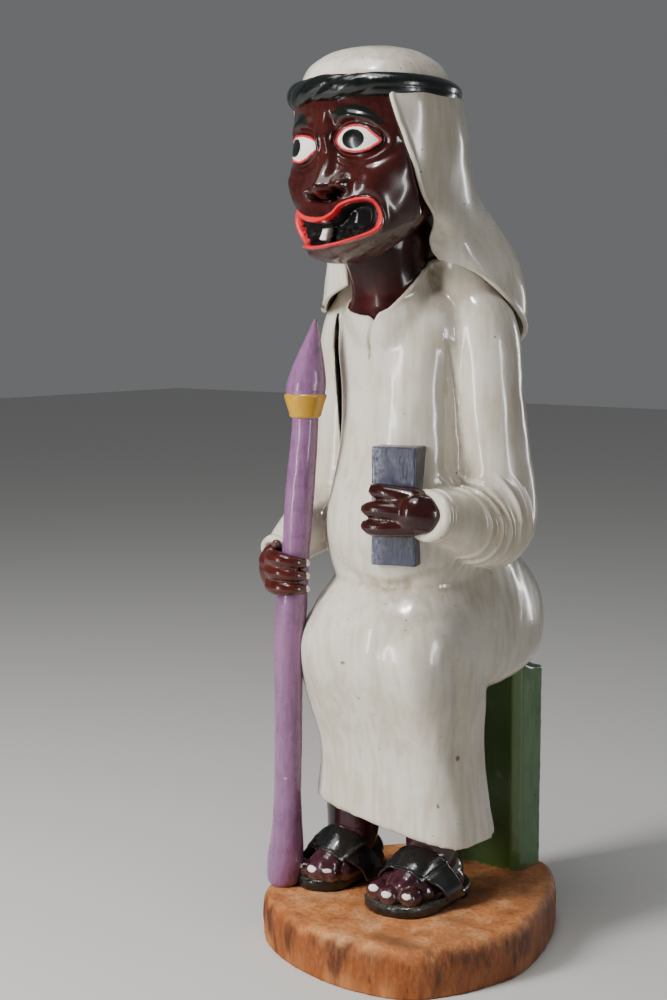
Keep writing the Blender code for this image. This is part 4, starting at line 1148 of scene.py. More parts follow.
LEFT_BROW = (
    (1.6, 91.3), (2.1, 91.9), (3.0, 92.25), (4.1, 92.4), (5.2, 92.15), (6.2, 91.5), (7.1, 90.45),
    (6.9, 90.2), (6.0, 90.7), (5.2, 90.98), (4.1, 91.08), (3.0, 91.0), (2.1, 90.85),
)
RIGHT_BROW = (
    (-2.2, 91.2), (-2.8, 91.8), (-3.9, 92.0), (-5.2, 91.9), (-6.3, 91.5), (-6.6, 90.9), (-5.7, 90.6),
    (-4.5, 90.5), (-3.2, 90.55), (-2.4, 90.8),
)
# Each iris: its middle, its half height and how much wider than high it is.
LEFT_IRIS = (4.10, 88.72, 1.05, 1.20)
RIGHT_IRIS = (-5.15, 88.30, 1.00, 1.42)
# The heights at which the lids part, on the left and on the right, and the eyeballs' place to either
# side, half width and half height.
EYE_HEIGHTS = (88.75, 88.15)
EYEBALL = (4.35, 2.8, 1.70)
MOUTH_DEPTH = 2.6
TOOTH_DEPTH = 1.55
GUMS_DEPTH = 0.55
LIPS = (
    (-5.6, 81.5), (-4.5, 81.2), (-2.6, 80.5), (-1.3, 80.22), (0.45, 80.2), (1.8, 80.75), (2.75, 81.6),
    (4.0, 82.1), (5.2, 82.28), (6.0, 82.08), (6.38, 81.5), (6.52, 80.75), (6.38, 79.8), (5.85, 78.9),
    (4.1, 78.05), (1.7, 77.42), (-0.4, 77.18), (-2.3, 77.25), (-4.6, 77.45), (-5.7, 78.3), (-6.15, 79.6),
    (-6.2, 80.8),
)
TOOTH = (
    (-0.90, 77.95), (-1.02, 78.6), (-1.08, 79.3), (-0.50, 79.3), (0.14, 79.25), (0.32, 78.6), (0.42, 77.95),
    (-0.3, 77.85),
)
NOSE_CUT = ((-1.8, 83.0), (-1.3, 82.6), (-0.3, 82.3), (0.8, 82.15), (1.8, 82.3), (2.7, 82.85), (3.3, 83.2))
MOUTH_FOLD = ((3.6, 84.4), (4.9, 83.9), (6.3, 83.2), (7.2, 82.0), (7.3, 80.6), (6.8, 79.2))
# Each nostril's hollow: its middle, half width and half height. Each hill: how far it stands out, then
# the same. They are the tip of the nose, its upper side, its left and right wing, and the lip's groove.
NOSTRILS = ((1.75, 82.7, 0.60, 0.38), (2.45, 83.1, 0.50, 0.42), (-0.75, 82.55, 0.60, 0.32))
FACE_HILLS = (
    (2.25, 0.85, 83.5, 1.40, 1.12), (0.95, 0.75, 85.1, 1.10, 1.2), (1.45, 2.90, 83.9, 0.82, 0.92),
    (1.25, -1.6, 83.25, 0.85, 0.80), (-0.18, 0.7, 81.3, 0.5, 0.6),
)


def bump(across, up, wide, high):
    """A smooth hill, 1 in its middle, falling away over the given half width and half height."""
    return np.exp(-((across / wide) ** 2) - (up / high) ** 2)


def inward(across, up, outline, count=130):
    """How far each place lies inside a smooth closed outline, below zero outside it: the distance to the
    nearest of its short straight lengths, with its sign from how often a line drawn sideways from the
    place crosses the outline."""
    line = through(outline, count, closed=True)
    nearest = np.full(across.shape, 1e9)
    within = np.zeros(across.shape, bool)
    for (ax, ay), (bx, by) in zip(line, np.roll(line, -1, axis=0)):
        dx, dy = bx - ax, by - ay
        t = np.clip(((across - ax) * dx + (up - ay) * dy) / (dx * dx + dy * dy), 0, 1)
        nearest = np.minimum(nearest, np.hypot(across - ax - t * dx, up - ay - t * dy))
        if dy:
            within ^= ((ay > up) != (by > up)) & (across < ax + (up - ay) * dx / dy)
    return np.where(within, nearest, -nearest)


def unrolled(across):
    """The way along the skin from the middle of the mouth: the head's half width there times the arcsine
    of the place across it as a share of that half width."""
    return MOUTH_HALF * np.arcsin(np.clip(np.asarray(across) / MOUTH_HALF, -0.99, 0.99))


def spun(x, y, degrees):
    """Level places turned about the upright line through 0, 0."""
    angle = math.radians(degrees)
    return x * math.cos(angle) - y * math.sin(angle), x * math.sin(angle) + y * math.cos(angle)


def head():
    """Level sections of the skull, each a softened oval whose cosine and sine are raised to 0.9, with
    more points in front than behind. The features push the skin in or out along the oval's radius: hills
    for balls of the eyes, nose and cheeks, ridges and cuts along outlines for lids, lips and folds."""
    heights = np.concatenate([
        np.linspace(75.4, 76.9, 16)[:-1], np.linspace(76.9, 82.8, 84)[:-1], np.linspace(82.8, 86.2, 34)[:-1],
        np.linspace(86.2, 92.8, 78)[:-1], np.linspace(92.8, 96.5, 9),
    ])
    fine = through(SKULL, 400)
    back, wide, deep = (np.interp(heights, fine[:, 0], fine[:, i])[:, None] for i in (1, 2, 3))
    even = np.linspace(-1, 1, 430, endpoint=False)[None, :]
    turn = math.pi * (0.47 * even + 0.53 * even ** 3)
    height = heights[:, None] + 0 * turn
    sine, cosine = np.sin(turn), np.cos(turn)
    across = wide * np.sign(sine) * np.abs(sine) ** 0.9
    down = -deep * np.sign(cosine) * np.abs(cosine) ** 0.9
    side = np.abs(across)
    front = cosine + 0 * height > 0.0
    flat = np.stack([across.ravel(), height.ravel()], axis=-1)

    def marked(sideways, outline, count=130):
        """How far each place on the front of the head lies inside an outline; -9 on its back."""
        whole = np.full(height.shape, -9.0)
        whole[front] = inward(sideways[front], height[front], outline, count)
        return whole

    def beside_line(line, wide):
        """A rounded ridge, 1 along a line on the face."""
        return ridge(from_line(flat, line)[0].reshape(height.shape), wide)

    lids = np.maximum(marked(across, LEFT_EYE), marked(across, RIGHT_EYE))
    brows = np.maximum(marked(across, LEFT_BROW), marked(across, RIGHT_BROW))
    mouth = marked(unrolled(across), [(unrolled(at), level) for at, level in LIPS], 220)
    tooth = marked(across, TOOTH)
    iris = np.maximum(*(size - np.hypot((across - cx) / broad, height - cy)
                        for cx, cy, size, broad in (LEFT_IRIS, RIGHT_IRIS)))
    # The eyes: each ball stands out of a shallow socket, between two ridged lids with a cut along each.
    above = height - np.where(across > 0, *EYE_HEIGHTS)
    upper_half = rise(above, 0.15)
    ball_of_eye = 1 - ((side - EYEBALL[0]) / EYEBALL[1]) ** 2 - (above / EYEBALL[2]) ** 2
    relief = 0.98 * np.clip(ball_of_eye, 0, 1) ** 0.65 - 0.95 * bump(side - 4.3, above, 3.6, 2.9)
    relief += 0.22 * ridge(lids + 0.18, 0.18)
    relief += (0.16 * ridge(lids + 1.15, 0.45) - 0.10 * ridge(lids + 0.62, 0.28)) * upper_half
    relief += (0.12 * ridge(lids + 1.05, 0.36) - 0.11 * ridge(lids + 0.60, 0.26)
               - 0.08 * ridge(lids + 1.60, 0.34)) * (1 - upper_half)
    relief += 0.03 * rise(brows + 0.05, 0.10)
    # The nose's flat-topped bridge, the cut under it, and the fold beside the mouth.
    crest = across - 0.35 - 0.11 * (88.6 - height)
    relief += 0.95 * np.exp(-((crest / 1.15) ** 4) - ((height - 88.6) / 3.2) ** 2)
    nose_shadow = beside_line(NOSE_CUT, 0.24)
    relief += 0.10 * beside_line(MOUTH_FOLD, 0.6) - 0.55 * nose_shadow
    nostrils = [bump(across - cx, height - cy, broad, tall) for cx, cy, broad, tall in NOSTRILS]
    nostrils = np.max(nostrils, axis=0)
    relief -= 1.45 * nostrils
    # Brow bones, cheeks, the tip and wings of the nose, and the groove above the lips.
    relief += 0.50 * bump(side - 3.9, height - 91.9 + 0.05 * side ** 2, 3.7, 0.85)
    relief += 0.80 * bump(side - 6.0, height - 84.9, 1.8, 2.1)
    for out, cx, cy, broad, tall in FACE_HILLS:
        relief += out * bump(across - cx, height - cy, broad, tall)
    # Mouth: round lips along their middle line, and the hollow behind them with the tooth in it.
    lip = 0.21 + 0.13 * rise(0.8 - across, 0.8) * rise(height - 79.0, 0.3) * rise(across + 4.6, 0.5)
    lip = lip - 0.08 * rise(-across - 4.6, 0.3)
    relief += 0.60 * ridge(mouth - 0.02, 1.3 * lip) + 0.30 * ridge(mouth + 0.6, 0.9)
    hole = rise(mouth - lip - 0.12, 0.06)
    gums = rise(78.6 + 0.07 * across - height, 0.25) * hole
    relief += GUMS_DEPTH * gums + TOOTH_DEPTH * rise(tooth, 0.05) * hole - MOUTH_DEPTH * hole
    relief = relief * rise(cosine - 0.1, 0.08)
    # The jaw: below its line, which climbs from the chin to the ear, the skin turns under to the neck.
    outward = np.where(cosine > 0, side, wide)
    jaw_line = np.interp(outward, (0, 2.5, 4.4, 6.7, 8.2, 9.2), (75.5, 76.1, 77.2, 78.7, 80.4, 82.0))
    relief -= 1.3 * rise(jaw_line - 0.3 - height, 0.38) * rise(outward - 2.0, 0.6)
    # The chin stands out a little, and the right cheek is drawn in beside and below the mouth.
    relief += 0.35 * bump(across + 2.2, height - 76.1, 2.0, 0.7)
    relief -= 0.75 * bump(across + 5.6, height - 81.5, 1.3, 0.9)
    relief -= 0.55 * rise(-across - 3.2, 0.6) * rise(81.0 - height, 0.5) * rise(height - 76.6, 0.4)
    # Under the cloth the skull is a little smaller, so that the cloth's edge stands proud of the face.
    edge_angle = np.interp(heights, (75, 80.8, 82.5, 84.4, 86.7, 89.1, 91.2, 93.1, 97),
                           (100, 92, 79, 71, 66, 59.5, 56, 51.5, 45))[:, None]
    relief -= 0.75 * rise(np.abs(np.degrees(turn)) - edge_angle - 3.0, 1.6)
    relief += 0.030 * ripple(np.stack([across, down, height], axis=-1), 2.6, 61)
    shrink = 1 + relief / np.hypot(across, down)
    x, y = spun(across * shrink, down * shrink + back, -HEAD_TURN)
    mesh = grid_mesh("head", to_metres(np.stack([HEAD_X + x, HEAD_Y + y, height], axis=-1)))
    # Haze lies on the chin and the left cheek, and dry brushing and grime in the mouth and the cuts.
    haze = bump(across - 4.6, height - 77.4, 2.6, 1.3) + 0.7 * bump(across - 1.6, height - 76.3, 2.2, 0.7)
    haze += 0.35 * bump(across - 7.6, height - 81.0, 1.2, 2.0)
    grey = rise(80.2 - 0.25 * (across - 3) - height, 0.5) * hole * (1 - rise(tooth, 0.05))
    hollow = hollows(mesh, 2).reshape(height.shape) * (1 - hole) * rise(-0.35 - np.abs(mouth), 0.1)
    store(mesh, eye_white=lids, lid_rim=np.minimum(lids + 0.13, 0.10 - lids), brow=brows, iris=iris,
          pupil=iris - 0.30, lip=lip * 1.08 - np.abs(mouth - 0.02), mouth=mouth - lip - 0.02, tooth=tooth,
          haze=haze, dry_brush=grey, nostril=nostrils - 0.50, hollow=np.clip(0.6 * hollow, 0, 1),
          nose_shadow=nose_shadow - 0.55)
    return piece_of("head", mesh, head_paint())


def head_paint():
    """The brown enamel with the features brushed over it, each in a single coat that stops at a slightly
    wavering border: eyes, lids, brows, lips, the black mouth with grey dry-brushing, and the tooth."""
    material, tree, shader, spot, tone = skin_paint("oxblood_enamel_face")
    tone = broken(tree, spot, tone, "#6B5A50", "haze", (75.0, 6.0, 0.65), 0.34, 0.66)
    tone = painted(tree, spot, tone, "#120706", "nose_shadow", soft=0.12)
    tone = painted(tree, spot, tone, "#0B0505", "nostril", soft=0.12)
    tone = painted(tree, spot, tone, "#10140F", "brow", soft=0.06, waver=0.16)
    tone = painted(tree, spot, tone, "#EFEAE0", "eye_white", waver=0.05)
    tone = painted(tree, spot, tone, "#C62B33", "lid_rim", soft=0.04, waver=0.09)
    tone = painted(tree, spot, tone, "#12130F", "iris", waver=0.05)
    tone = painted(tree, spot, tone, "#050606", "pupil", soft=0.06, waver=0.04)
    tone = painted(tree, spot, tone, "#0D0A0A", "mouth")
    tone = broken(tree, spot, tone, "#3B3A38", "dry_brush", (300.0, 5.0, 0.7), 0.48, 0.64)
    tone = painted(tree, spot, tone, "#F0ECE4", "tooth", waver=0.08)
    tone = painted(tree, spot, tone, "#D82A33", "lip", waver=0.10)
    tree.links.new(tone, shader.inputs["Base Color"])
    inside = ranged(tree, kept(tree, "mouth"), 0.0, 0.1, to_high=0.8)
    shine = shader.inputs["Roughness"].links[0].from_socket
    dull = add(tree, "ShaderNodeMath", {0: shine, 1: inside}, operation="MAXIMUM")
    tree.links.new(dull.outputs[0], shader.inputs["Roughness"])
    return material


head_piece = head()


# Headcloth
# The cloth over the head, cut from the same wood: a smooth cap inside the ring, and below it one sheet
# that falls open-fronted from the ring over the shoulders, with a thick rounded edge.
CLOTH_THICK = 0.50
CLOTH_GAP = 0.30
CAP = (
    (93.9, HEAD_X, HEAD_Y, 8.3, 8.3, 2.1, 0), (95.5, HEAD_X, HEAD_Y, 8.2, 8.3, 2.1, 0),
    (96.6, HEAD_X, HEAD_Y, 7.8, 7.9, 2.1, 0), (97.5, HEAD_X, HEAD_Y, 7.15, 7.2, 2.1, 0),
    (98.4, HEAD_X, HEAD_Y, 5.9, 5.9, 2.1, 0), (98.95, HEAD_X, HEAD_Y, 4.7, 4.7, 2.0, 0),
    (99.4, HEAD_X, HEAD_Y, 2.7, 2.7, 2.0, 0), (99.6, HEAD_X, HEAD_Y, 0.8, 0.8, 2.0, 0),
)
RING_HEIGHT = 94.0
RING_TILT = 0.45
RING_HIGH_AT = -54.0
# The cloth's net: each row runs from its left front edge round its left side to the middle of the back.
CAPE_LEFT = (
    ((5.1, -11.1, 94.3), (7.05, -8.0, 94.2), (7.6, -4.1, 94.1), (6.5, -0.3, 94.0), (4.2, 2.4, 94.0),
     (1.4, 3.9, 94.0), (-1.5, 4.3, 94.0)),
    ((5.25, -11.4, 93.1), (7.4, -8.1, 93.1), (7.9, -4.1, 93.1), (6.9, -0.1, 93.1), (4.6, 2.9, 93.1),
     (1.6, 4.5, 93.1), (-1.5, 4.9, 93.1)),
    ((5.9, -10.6, 90.1), (7.6, -7.4, 90.0), (8.1, -3.9, 90.0), (7.4, -0.2, 90.0), (5.4, 3.0, 90.0),
     (2.2, 4.9, 90.0), (-1.5, 5.4, 90.0)),
    ((6.55, -9.5, 86.6), (7.8, -6.6, 86.5), (8.0, -3.2, 86.5), (7.3, 0.4, 86.5), (5.3, 3.9, 86.5),
     (2.2, 6.1, 86.5), (-1.5, 6.7, 86.5)),
    ((7.0, -7.7, 82.9), (7.6, -4.9, 83.0), (7.6, -1.6, 83.0), (7.0, 2.2, 83.0), (5.4, 5.7, 83.0),
     (2.3, 8.0, 83.0), (-1.5, 8.6, 83.0)),
    ((6.5, -4.9, 80.6), (7.3, -2.4, 80.4), (7.7, 1.2, 80.2), (7.5, 4.6, 80.0), (6.2, 8.0, 80.0),
     (2.7, 10.7, 80.0), (-1.5, 11.4, 80.0)),
    ((3.8, -1.8, 78.5), (6.7, -0.7, 78.1), (8.2, 2.6, 77.3), (8.8, 6.2, 76.9), (7.6, 9.9, 76.6),
     (3.3, 12.6, 76.5), (-1.5, 13.2, 76.5)),
    ((3.6, -1.1, 77.1), (7.1, 0.3, 76.2), (9.0, 3.0, 74.9), (10.0, 6.2, 73.6), (9.3, 9.9, 72.0),
     (4.3, 13.0, 71.0), (-1.5, 13.2, 71.0)),
    ((4.2, -0.5, 76.0), (7.3, 0.9, 74.9), (9.5, 2.8, 72.9), (10.5, 5.6, 70.5), (10.0, 9.0, 67.6),
     (5.2, 12.0, 65.4), (-1.5, 12.4, 65.0)),
)
RIGHT_HEM_DROP = 1.6
# On the right side, row by row, how far the front edge stands back beside the eye and how many shares
# further forward the cloth lies on the shoulder; how much of that each place along a row takes, and how
# far out it moves with it.
RIGHT_BACK = (2.2, 2.2, 1.8, 1.1, 0.5, 0.10, 0.0, 0.0, 0.0)
RIGHT_FORWARD = (0.0, 0.0, 0.0, 0.0, 0.2, 0.9, 2.0, 2.8, 3.0)
FORWARD_SHARE = (0.0, 0.2, 0.62, 1.0, 1.0, 0.86)
FORWARD_OUT = 0.17
# The right front corner laps over the shoulder up to the neck; its rim has lost five chips of paint,
# given by height and radius.
RIGHT_LAPPET = (
    ((-11.5, 0.5, 77.2), (-8.8, -3.7, 77.4), (-5.9, -4.9, 77.9)),
    ((-12.1, 0.2, 74.2), (-9.1, -3.8, 74.7), (-5.4, -5.0, 75.4)),
    ((-12.6, -0.6, 69.9), (-9.2, -3.7, 71.6), (-5.3, -5.0, 73.1)),
)
CAPE_CHIPS = ((75.0, 0.60), (74.3, 0.45), (72.6, 0.40), (71.3, 0.75), (70.5, 0.50))
# The level way that runs to the right in the picture, and the step from the rim's outermost point there
# to a chip's middle.
PICTURE_RIGHT = (0.809, 0.588, 0.0)
FROM_RIM = (0.7, -1.0, 0.0)


def ring_level(x, y):
    """The height of the head ring's middle line at a place: highest to the figure's left front."""
    along = np.arctan2(y - HEAD_Y, x - HEAD_X)
    return RING_HEIGHT + RING_TILT * np.cos(along - math.radians(RING_HIGH_AT))


def cap():
    """The cap's level sections, shrinking to the crown, with the adze's slow ripples left in it."""
    points = loft(CAP, 90, 200)
    points += 0.03 * ripple(points, 3.5, 71)[..., None] * np.array([0, 0, 1])
    mesh = tidy(grid_mesh("cap", to_metres(points)))
    spots = to_shares(points_of(mesh)[0])
    foot_line = ring_level(spots[:, 0], spots[:, 1]) + 1.30 - spots[:, 2]
    store(mesh, edge_line=foot_line, hollow=np.zeros(len(spots)))
    material, tree, shader, spot, tone = white_gloss("off_white_gloss_cap")
    tone = painted(tree, spot, tone, "#B7AE5A", "edge_line", soft=0.10, waver=0.15)
    tree.links.new(tone, shader.inputs["Base Color"])
    return piece_of("cap", mesh, material)


def cape():
    """The sheet's net, mirrored to the right side with a lower hem and a lappet there, stood clear of the
    robe and head, smoothed, and given its thickness and beaded edge."""
    left = np.array(CAPE_LEFT)
    right = left[:, -2::-1].copy()
    right[..., 0] = 2 * HEAD_X - right[..., 0]
    back = np.array(RIGHT_BACK)[:, None]
    right[:, -1] += back * (right[:, -2] - right[:, -1])
    forward = np.array(RIGHT_FORWARD)[:, None] * np.array(FORWARD_SHARE)
    right[..., 1] -= forward
    right[..., 0] -= FORWARD_OUT * forward
    drop = np.linspace(0, 1, len(left)) ** 3
    reach = np.linspace(0, 1, right.shape[1]) ** 2
    right[..., 2] -= RIGHT_HEM_DROP * drop[:, None] * reach[None]
    right[-3:, -3:] = RIGHT_LAPPET
    points = net(np.concatenate([left, right], axis=1), 110, 260)
    points += 0.05 * ripple(points, 5.0, 81)[..., None] * np.array([1, 1, 0])
    points = eased(over(points, [robe_piece, head_piece], CLOTH_GAP), 10)
    mesh = sheet_skin("cape", resampled(points, 126, 226), CLOTH_THICK, bead=0.22, open_top=True)
    spots = to_shares(points_of(mesh)[0])
    chips = []
    for level, size in CAPE_CHIPS:
        other_levels = np.abs(spots[:, 2] - level) > 0.2
        outermost = spots[np.argmin(spots @ PICTURE_RIGHT + 9 * other_levels)]
        chips.append((outermost + FROM_RIM, size))
    # Painted shade: the cape's hollows are darkened by the gloss's brown.
    store(mesh, hollow=np.clip(1.3 * hollows(mesh, 3), 0, 1), chip=in_balls(spots, chips))
    material, tree, shader, spot, tone = white_gloss("off_white_gloss_headcloth")
    tone = painted(tree, spot, tone, "#6E4228", "chip", soft=0.06, waver=0.45)
    tree.links.new(tone, shader.inputs["Base Color"])
    return piece_of("cape", mesh, material)


cap()
cape()


# Head ring
# The doubled cord that holds the cloth: two thick strands twisted round each other, cut in the wood as
# long slanting grooves and painted in greenish black gloss.
RING_RADIUS = 8.75
RING_THICK = 1.27
RING_THICKEST_AT = 216.0
RING_GROOVES = 6
# The strands' turn in degrees by the place round the ring: side by side along the left of the figure, and
# wound fast across its right front.
RING_TURNS = ((-54, 75), (60, 90), (210, 525), (306, 975))


def head_ring():
    """A bar's circle carried round the head. Its radius swells and sinks with the cosine of its angle,
    which turns along the ring, so two strands wind round each other; finer grooves wind with them."""
    along = np.linspace(RING_TURNS[0][0], RING_TURNS[-1][0], 480, endpoint=False)
    twist = np.radians(np.interp(along, *np.array(RING_TURNS, float).T))[:, None]
    along = np.radians(along)[:, None]
    round_it = np.linspace(0, 2 * math.pi, 64, endpoint=False)[None, :]
    strands = np.abs(np.cos(round_it - twist))
    radius = RING_THICK * (0.80 + 0.24 * strands ** 0.75)
    radius = radius + 0.028 * np.cos(RING_GROOVES * (round_it - twist)) * strands
    radius = radius * (1 + 0.07 * np.cos(along - math.radians(RING_THICKEST_AT)))
    out = RING_RADIUS + radius * np.cos(round_it) * 0.94
    x, y = HEAD_X + out * np.cos(along), HEAD_Y + out * np.sin(along)
    points = np.stack([x, y, ring_level(x, y) + radius * np.sin(round_it) * 1.02], axis=-1)
    mesh = joined("head_ring", [np.concatenate([points, points[:1]])], filled=False)
    store(mesh, scuff=np.clip(0.5 * hollows(mesh, 2), 0, 1))
    material, tree, shader, spot, tone = black_satin("green_black_gloss_ring", "#0B1411", "#050807", 0.20)
    tree.links.new(tone, shader.inputs["Base Color"])
    return piece_of("head_ring", mesh, material)


head_ring()


# Cuffs
# Each sleeve ends in a thick rolled cuff, carved as a rounded ring with a narrow second roll behind it
# and painted with the robe.
LEFT_WRIST = (7.3, -6.5, 47.4)
RIGHT_WRIST = (-13.7, -7.9, 41.5)


def roll(middle, forward, wide, high, thick, seed, sides=30, count=110):
    """A bar's circle carried round an oval that stands square to the forearm, its thickness varying a
    little as the knife left it."""
    forward = np.array(forward, float) / np.linalg.norm(forward)
    across = np.cross(forward, (0, 0, 1.0))
    across /= np.linalg.norm(across)
    upward = np.cross(across, forward)
    along = np.linspace(0, 2 * math.pi, count, endpoint=False)[:, None, None]
    round_it = np.linspace(0, 2 * math.pi, sides, endpoint=False)[None, :, None]
    out = np.cos(along) * across * wide + np.sin(along) * upward * high
    direction = out / np.linalg.norm(out, axis=-1, keepdims=True)
    radius = thick * (1 + 0.10 * np.sin(2 * along + seed) + 0.05 * np.sin(5 * along + 2 * seed))
    points = np.array(middle) + out + radius * (np.cos(round_it) * direction + np.sin(round_it) * forward)
    return np.concatenate([points, points[:1]])


def cuffs():
    """The rolls of both sleeves, two to a sleeve."""
    mesh = joined("cuffs", [
        roll(LEFT_WRIST, (-0.12, -1.0, 0.10), 2.75, 2.30, 0.76, 1),
        roll((7.35, -5.35, 47.3), (-0.12, -1.0, 0.10), 2.95, 2.70, 0.40, 2),
        roll(RIGHT_WRIST, (-0.15, -1.0, -0.35), 2.2, 1.75, 0.55, 3),
        roll((-13.1, -6.9, 42.1), (-0.1, -1.0, -0.30), 2.35, 2.2, 0.40, 4),
    ], filled=False)
    count = len(mesh.vertices)
    store(mesh, hollow=np.zeros(count), chip=np.full(count, -1.0))
    return piece_of("cuffs", mesh, bpy.data.materials["off_white_gloss_headcloth"])


cuffs()


# Book
# A thick closed book held upright before the belly, carved as one block with barely rounded edges and
# painted slate blue, rubbed pale along its outer side.
BOOK_MIDDLE = (2.45, -5.3, 48.2)
BOOK_TURN = 16.0
BOOK_SIZE = (5.35, 4.60, 13.55)
BOOK_ROUNDING = 0.22


def book():
    """A rounded rectangle carried up the book's height, drawn in at both ends round a quarter circle;
    ripples of a few hundredths of a share leave its faces hand-flat."""
    wide, deep, _ = (size / 2 for size in BOOK_SIZE)
    flat_wide, flat_deep, flat_high = (size / 2 - BOOK_ROUNDING for size in BOOK_SIZE)
    quarter = np.linspace(0, math.pi / 2, 6)
    corners = []
    for number, (way_across, way_back) in enumerate(((1, 1), (-1, 1), (-1, -1), (1, -1))):
        angle = quarter + number * math.pi / 2
        corners += list(zip(way_across * flat_wide + BOOK_ROUNDING * np.cos(angle),
                            way_back * flat_deep + BOOK_ROUNDING * np.sin(angle)))
    outline = []
    for start, end in zip(np.array(corners), np.roll(corners, -1, axis=0)):
        steps = 34 if math.dist(start, end) > 2 else 1
        outline += [start + (end - start) * step / steps for step in range(steps)]
    outline = np.array(outline)
    sunk, risen = BOOK_ROUNDING * np.cos(quarter), BOOK_ROUNDING * np.sin(quarter)
    upright = np.linspace(-flat_high, flat_high, 84)[1:-1]
    levels = np.concatenate([-flat_high - sunk, upright, flat_high + risen])
    inset = np.concatenate([BOOK_ROUNDING - risen, 0 * upright, BOOK_ROUNDING - sunk])
    rings = outline[None] * (1 - inset[:, None, None] / np.array([wide, deep]))
    points = np.concatenate([rings, np.repeat(levels[:, None, None], len(outline), axis=1)], axis=-1)
    ends = [points * np.array([share, share, 1]) for share in (0.8, 0.5, 0.2, 0.02)]
    points = np.concatenate([[end[0] for end in ends[::-1]], points, [end[-1] for end in ends]])
    points = points + 0.022 * ripple(points, 2.4, 101)[..., None] * np.sign(points)
    x, y = spun(points[..., 0], points[..., 1], BOOK_TURN)
    mesh = grid_mesh("book", to_metres(np.stack([x, y, points[..., 2]], axis=-1) + BOOK_MIDDLE))
    edge = rise(1.1 - wide - points[..., 0] + 0.25 * ripple(points, 1.2, 102), 0.3) * (points[..., 1] < 0)
    store(mesh, rubbed=np.clip(0.6 * edge + 0.15 * np.clip(ripple(points, 1.6, 103), 0, 1), 0, 1))
    material, tree, shader, spot, tone = gloss_paint(
        "slate_blue_satin_paint", "#34364A", "#262838", 0.018, 0.40, 0.35, (1, 1, 0.5))
    tone = broken(tree, spot, tone, "#8C8FA3", "rubbed", (260.0, 6.0, 0.7), 0.40, 0.62)
    tree.links.new(tone, shader.inputs["Base Color"])
    return piece_of("book", tidy(mesh), material)


book()


# Hands
# Both hands have three long fingers and taper from a broad back into the cuff. The left one lies over
# the book's cover, its fingertips past the book's edge; the right one is a fist closed round the spear.
HAND_GRAIN = 0.0008
FINGERNAIL_HIGH = 0.05
# The rows of a finger, wrist or thumb are places and radii.
LEFT_FINGERS = (
    ((5.6, -7.6, 49.2, 1.35), (4.4, -8.3, 49.6, 1.16), (3.2, -8.8, 49.85, 1.02), (2.2, -8.95, 50.0, 0.96),
     (1.6, -8.9, 50.1, 0.84), (1.15, -8.8, 50.2, 0.62)),
    ((5.6, -8.1, 47.7, 1.35), (4.2, -9.0, 47.9, 1.14), (3.0, -9.5, 48.0, 1.04), (2.0, -9.75, 48.0, 1.00),
     (1.4, -9.75, 48.0, 0.90), (0.95, -9.65, 48.0, 0.70)),
    ((5.6, -7.9, 46.3, 1.35), (4.2, -8.8, 46.1, 1.14), (3.1, -9.4, 46.0, 1.06), (2.1, -9.7, 46.0, 1.02),
     (1.5, -9.8, 46.05, 0.92), (1.05, -9.75, 46.1, 0.72)),
)
LEFT_WRIST_BAR = ((7.6, -5.0, 47.4, 2.2), (7.0, -6.4, 47.5, 2.35), (6.0, -7.2, 47.7, 2.5))
LEFT_HAND_NAILS = (((0.75, -9.35, 50.4), 0.50),)
RIGHT_WRIST_BAR = ((-13.3, -7.2, 41.7, 1.6), (-13.6, -8.2, 41.2, 1.7), (-13.7, -9.0, 40.6, 1.6))
RIGHT_THUMB = ((-13.2, -8.0, 42.0, 0.75), (-12.95, -8.9, 42.55, 0.66), (-12.6, -9.5, 42.75, 0.58))
# The spear's line through the fist, and a finger's course round it: the angle from the side toward the
# beholder's left front, the distance and the finger's radius.
GRASP = (-11.12, -8.06)
GRASP_FRONT = -54.0
FINGER_COURSE = (
    (-135, 2.35, 1.00), (-105, 2.45, 1.02), (-75, 2.50, 1.02), (-45, 2.45, 0.98), (-15, 2.30, 0.86),
    (12, 2.18, 0.70), (33, 2.05, 0.62), (47, 2.00, 0.54),
)
# Each finger of the fist: its height at the knuckle and at the tip.
RIGHT_FINGERS = ((41.25, 40.65), (39.65, 39.15), (37.85, 37.60))


def ball(middle, radii, turn=0.0, rows=30, columns=44):
    """An ellipsoid with its middle and radii in shares, turned about the upright in degrees."""
    up = np.linspace(-math.pi / 2 + 0.02, math.pi / 2 - 0.02, rows)[:, None]
    round_it = np.linspace(0, 2 * math.pi, columns, endpoint=False)[None, :]
    x, y = spun(radii[0] * np.cos(up) * np.cos(round_it), radii[1] * np.cos(up) * np.sin(round_it), turn)
    return np.stack([x, y, radii[2] * np.sin(up) + 0 * round_it], axis=-1) + np.array(middle)


def hand(name, grids, nails, material):
    """The hand's bars and balls fused into one skin; a nail is where a point lies in a small ball set
    into a fingertip."""
    mesh = fused(name, grids, HAND_GRAIN, 10)
    places, facing = points_of(mesh)
    nail = in_balls(to_shares(places), nails)
    move_points(mesh, places + facing * (FINGERNAIL_HIGH * SHARE * rise(nail, 0.04))[:, None])
    store(mesh, nail=nail, hollow=np.clip(0.7 * hollows(mesh), 0, 1))
    return piece_of(name, mesh, material)


left_grids = [bar(path, 40, 30) for path in LEFT_FINGERS]
left_grids += [bar(LEFT_WRIST_BAR, 20, 36), ball((5.4, -7.5, 47.8), (3.0, 1.8, 2.85), 32)]
dark_enamel = nail_paint("dark_brown_enamel_hand", "#33100D", "#240B09")
hand("left_hand", left_grids, LEFT_HAND_NAILS, dark_enamel)

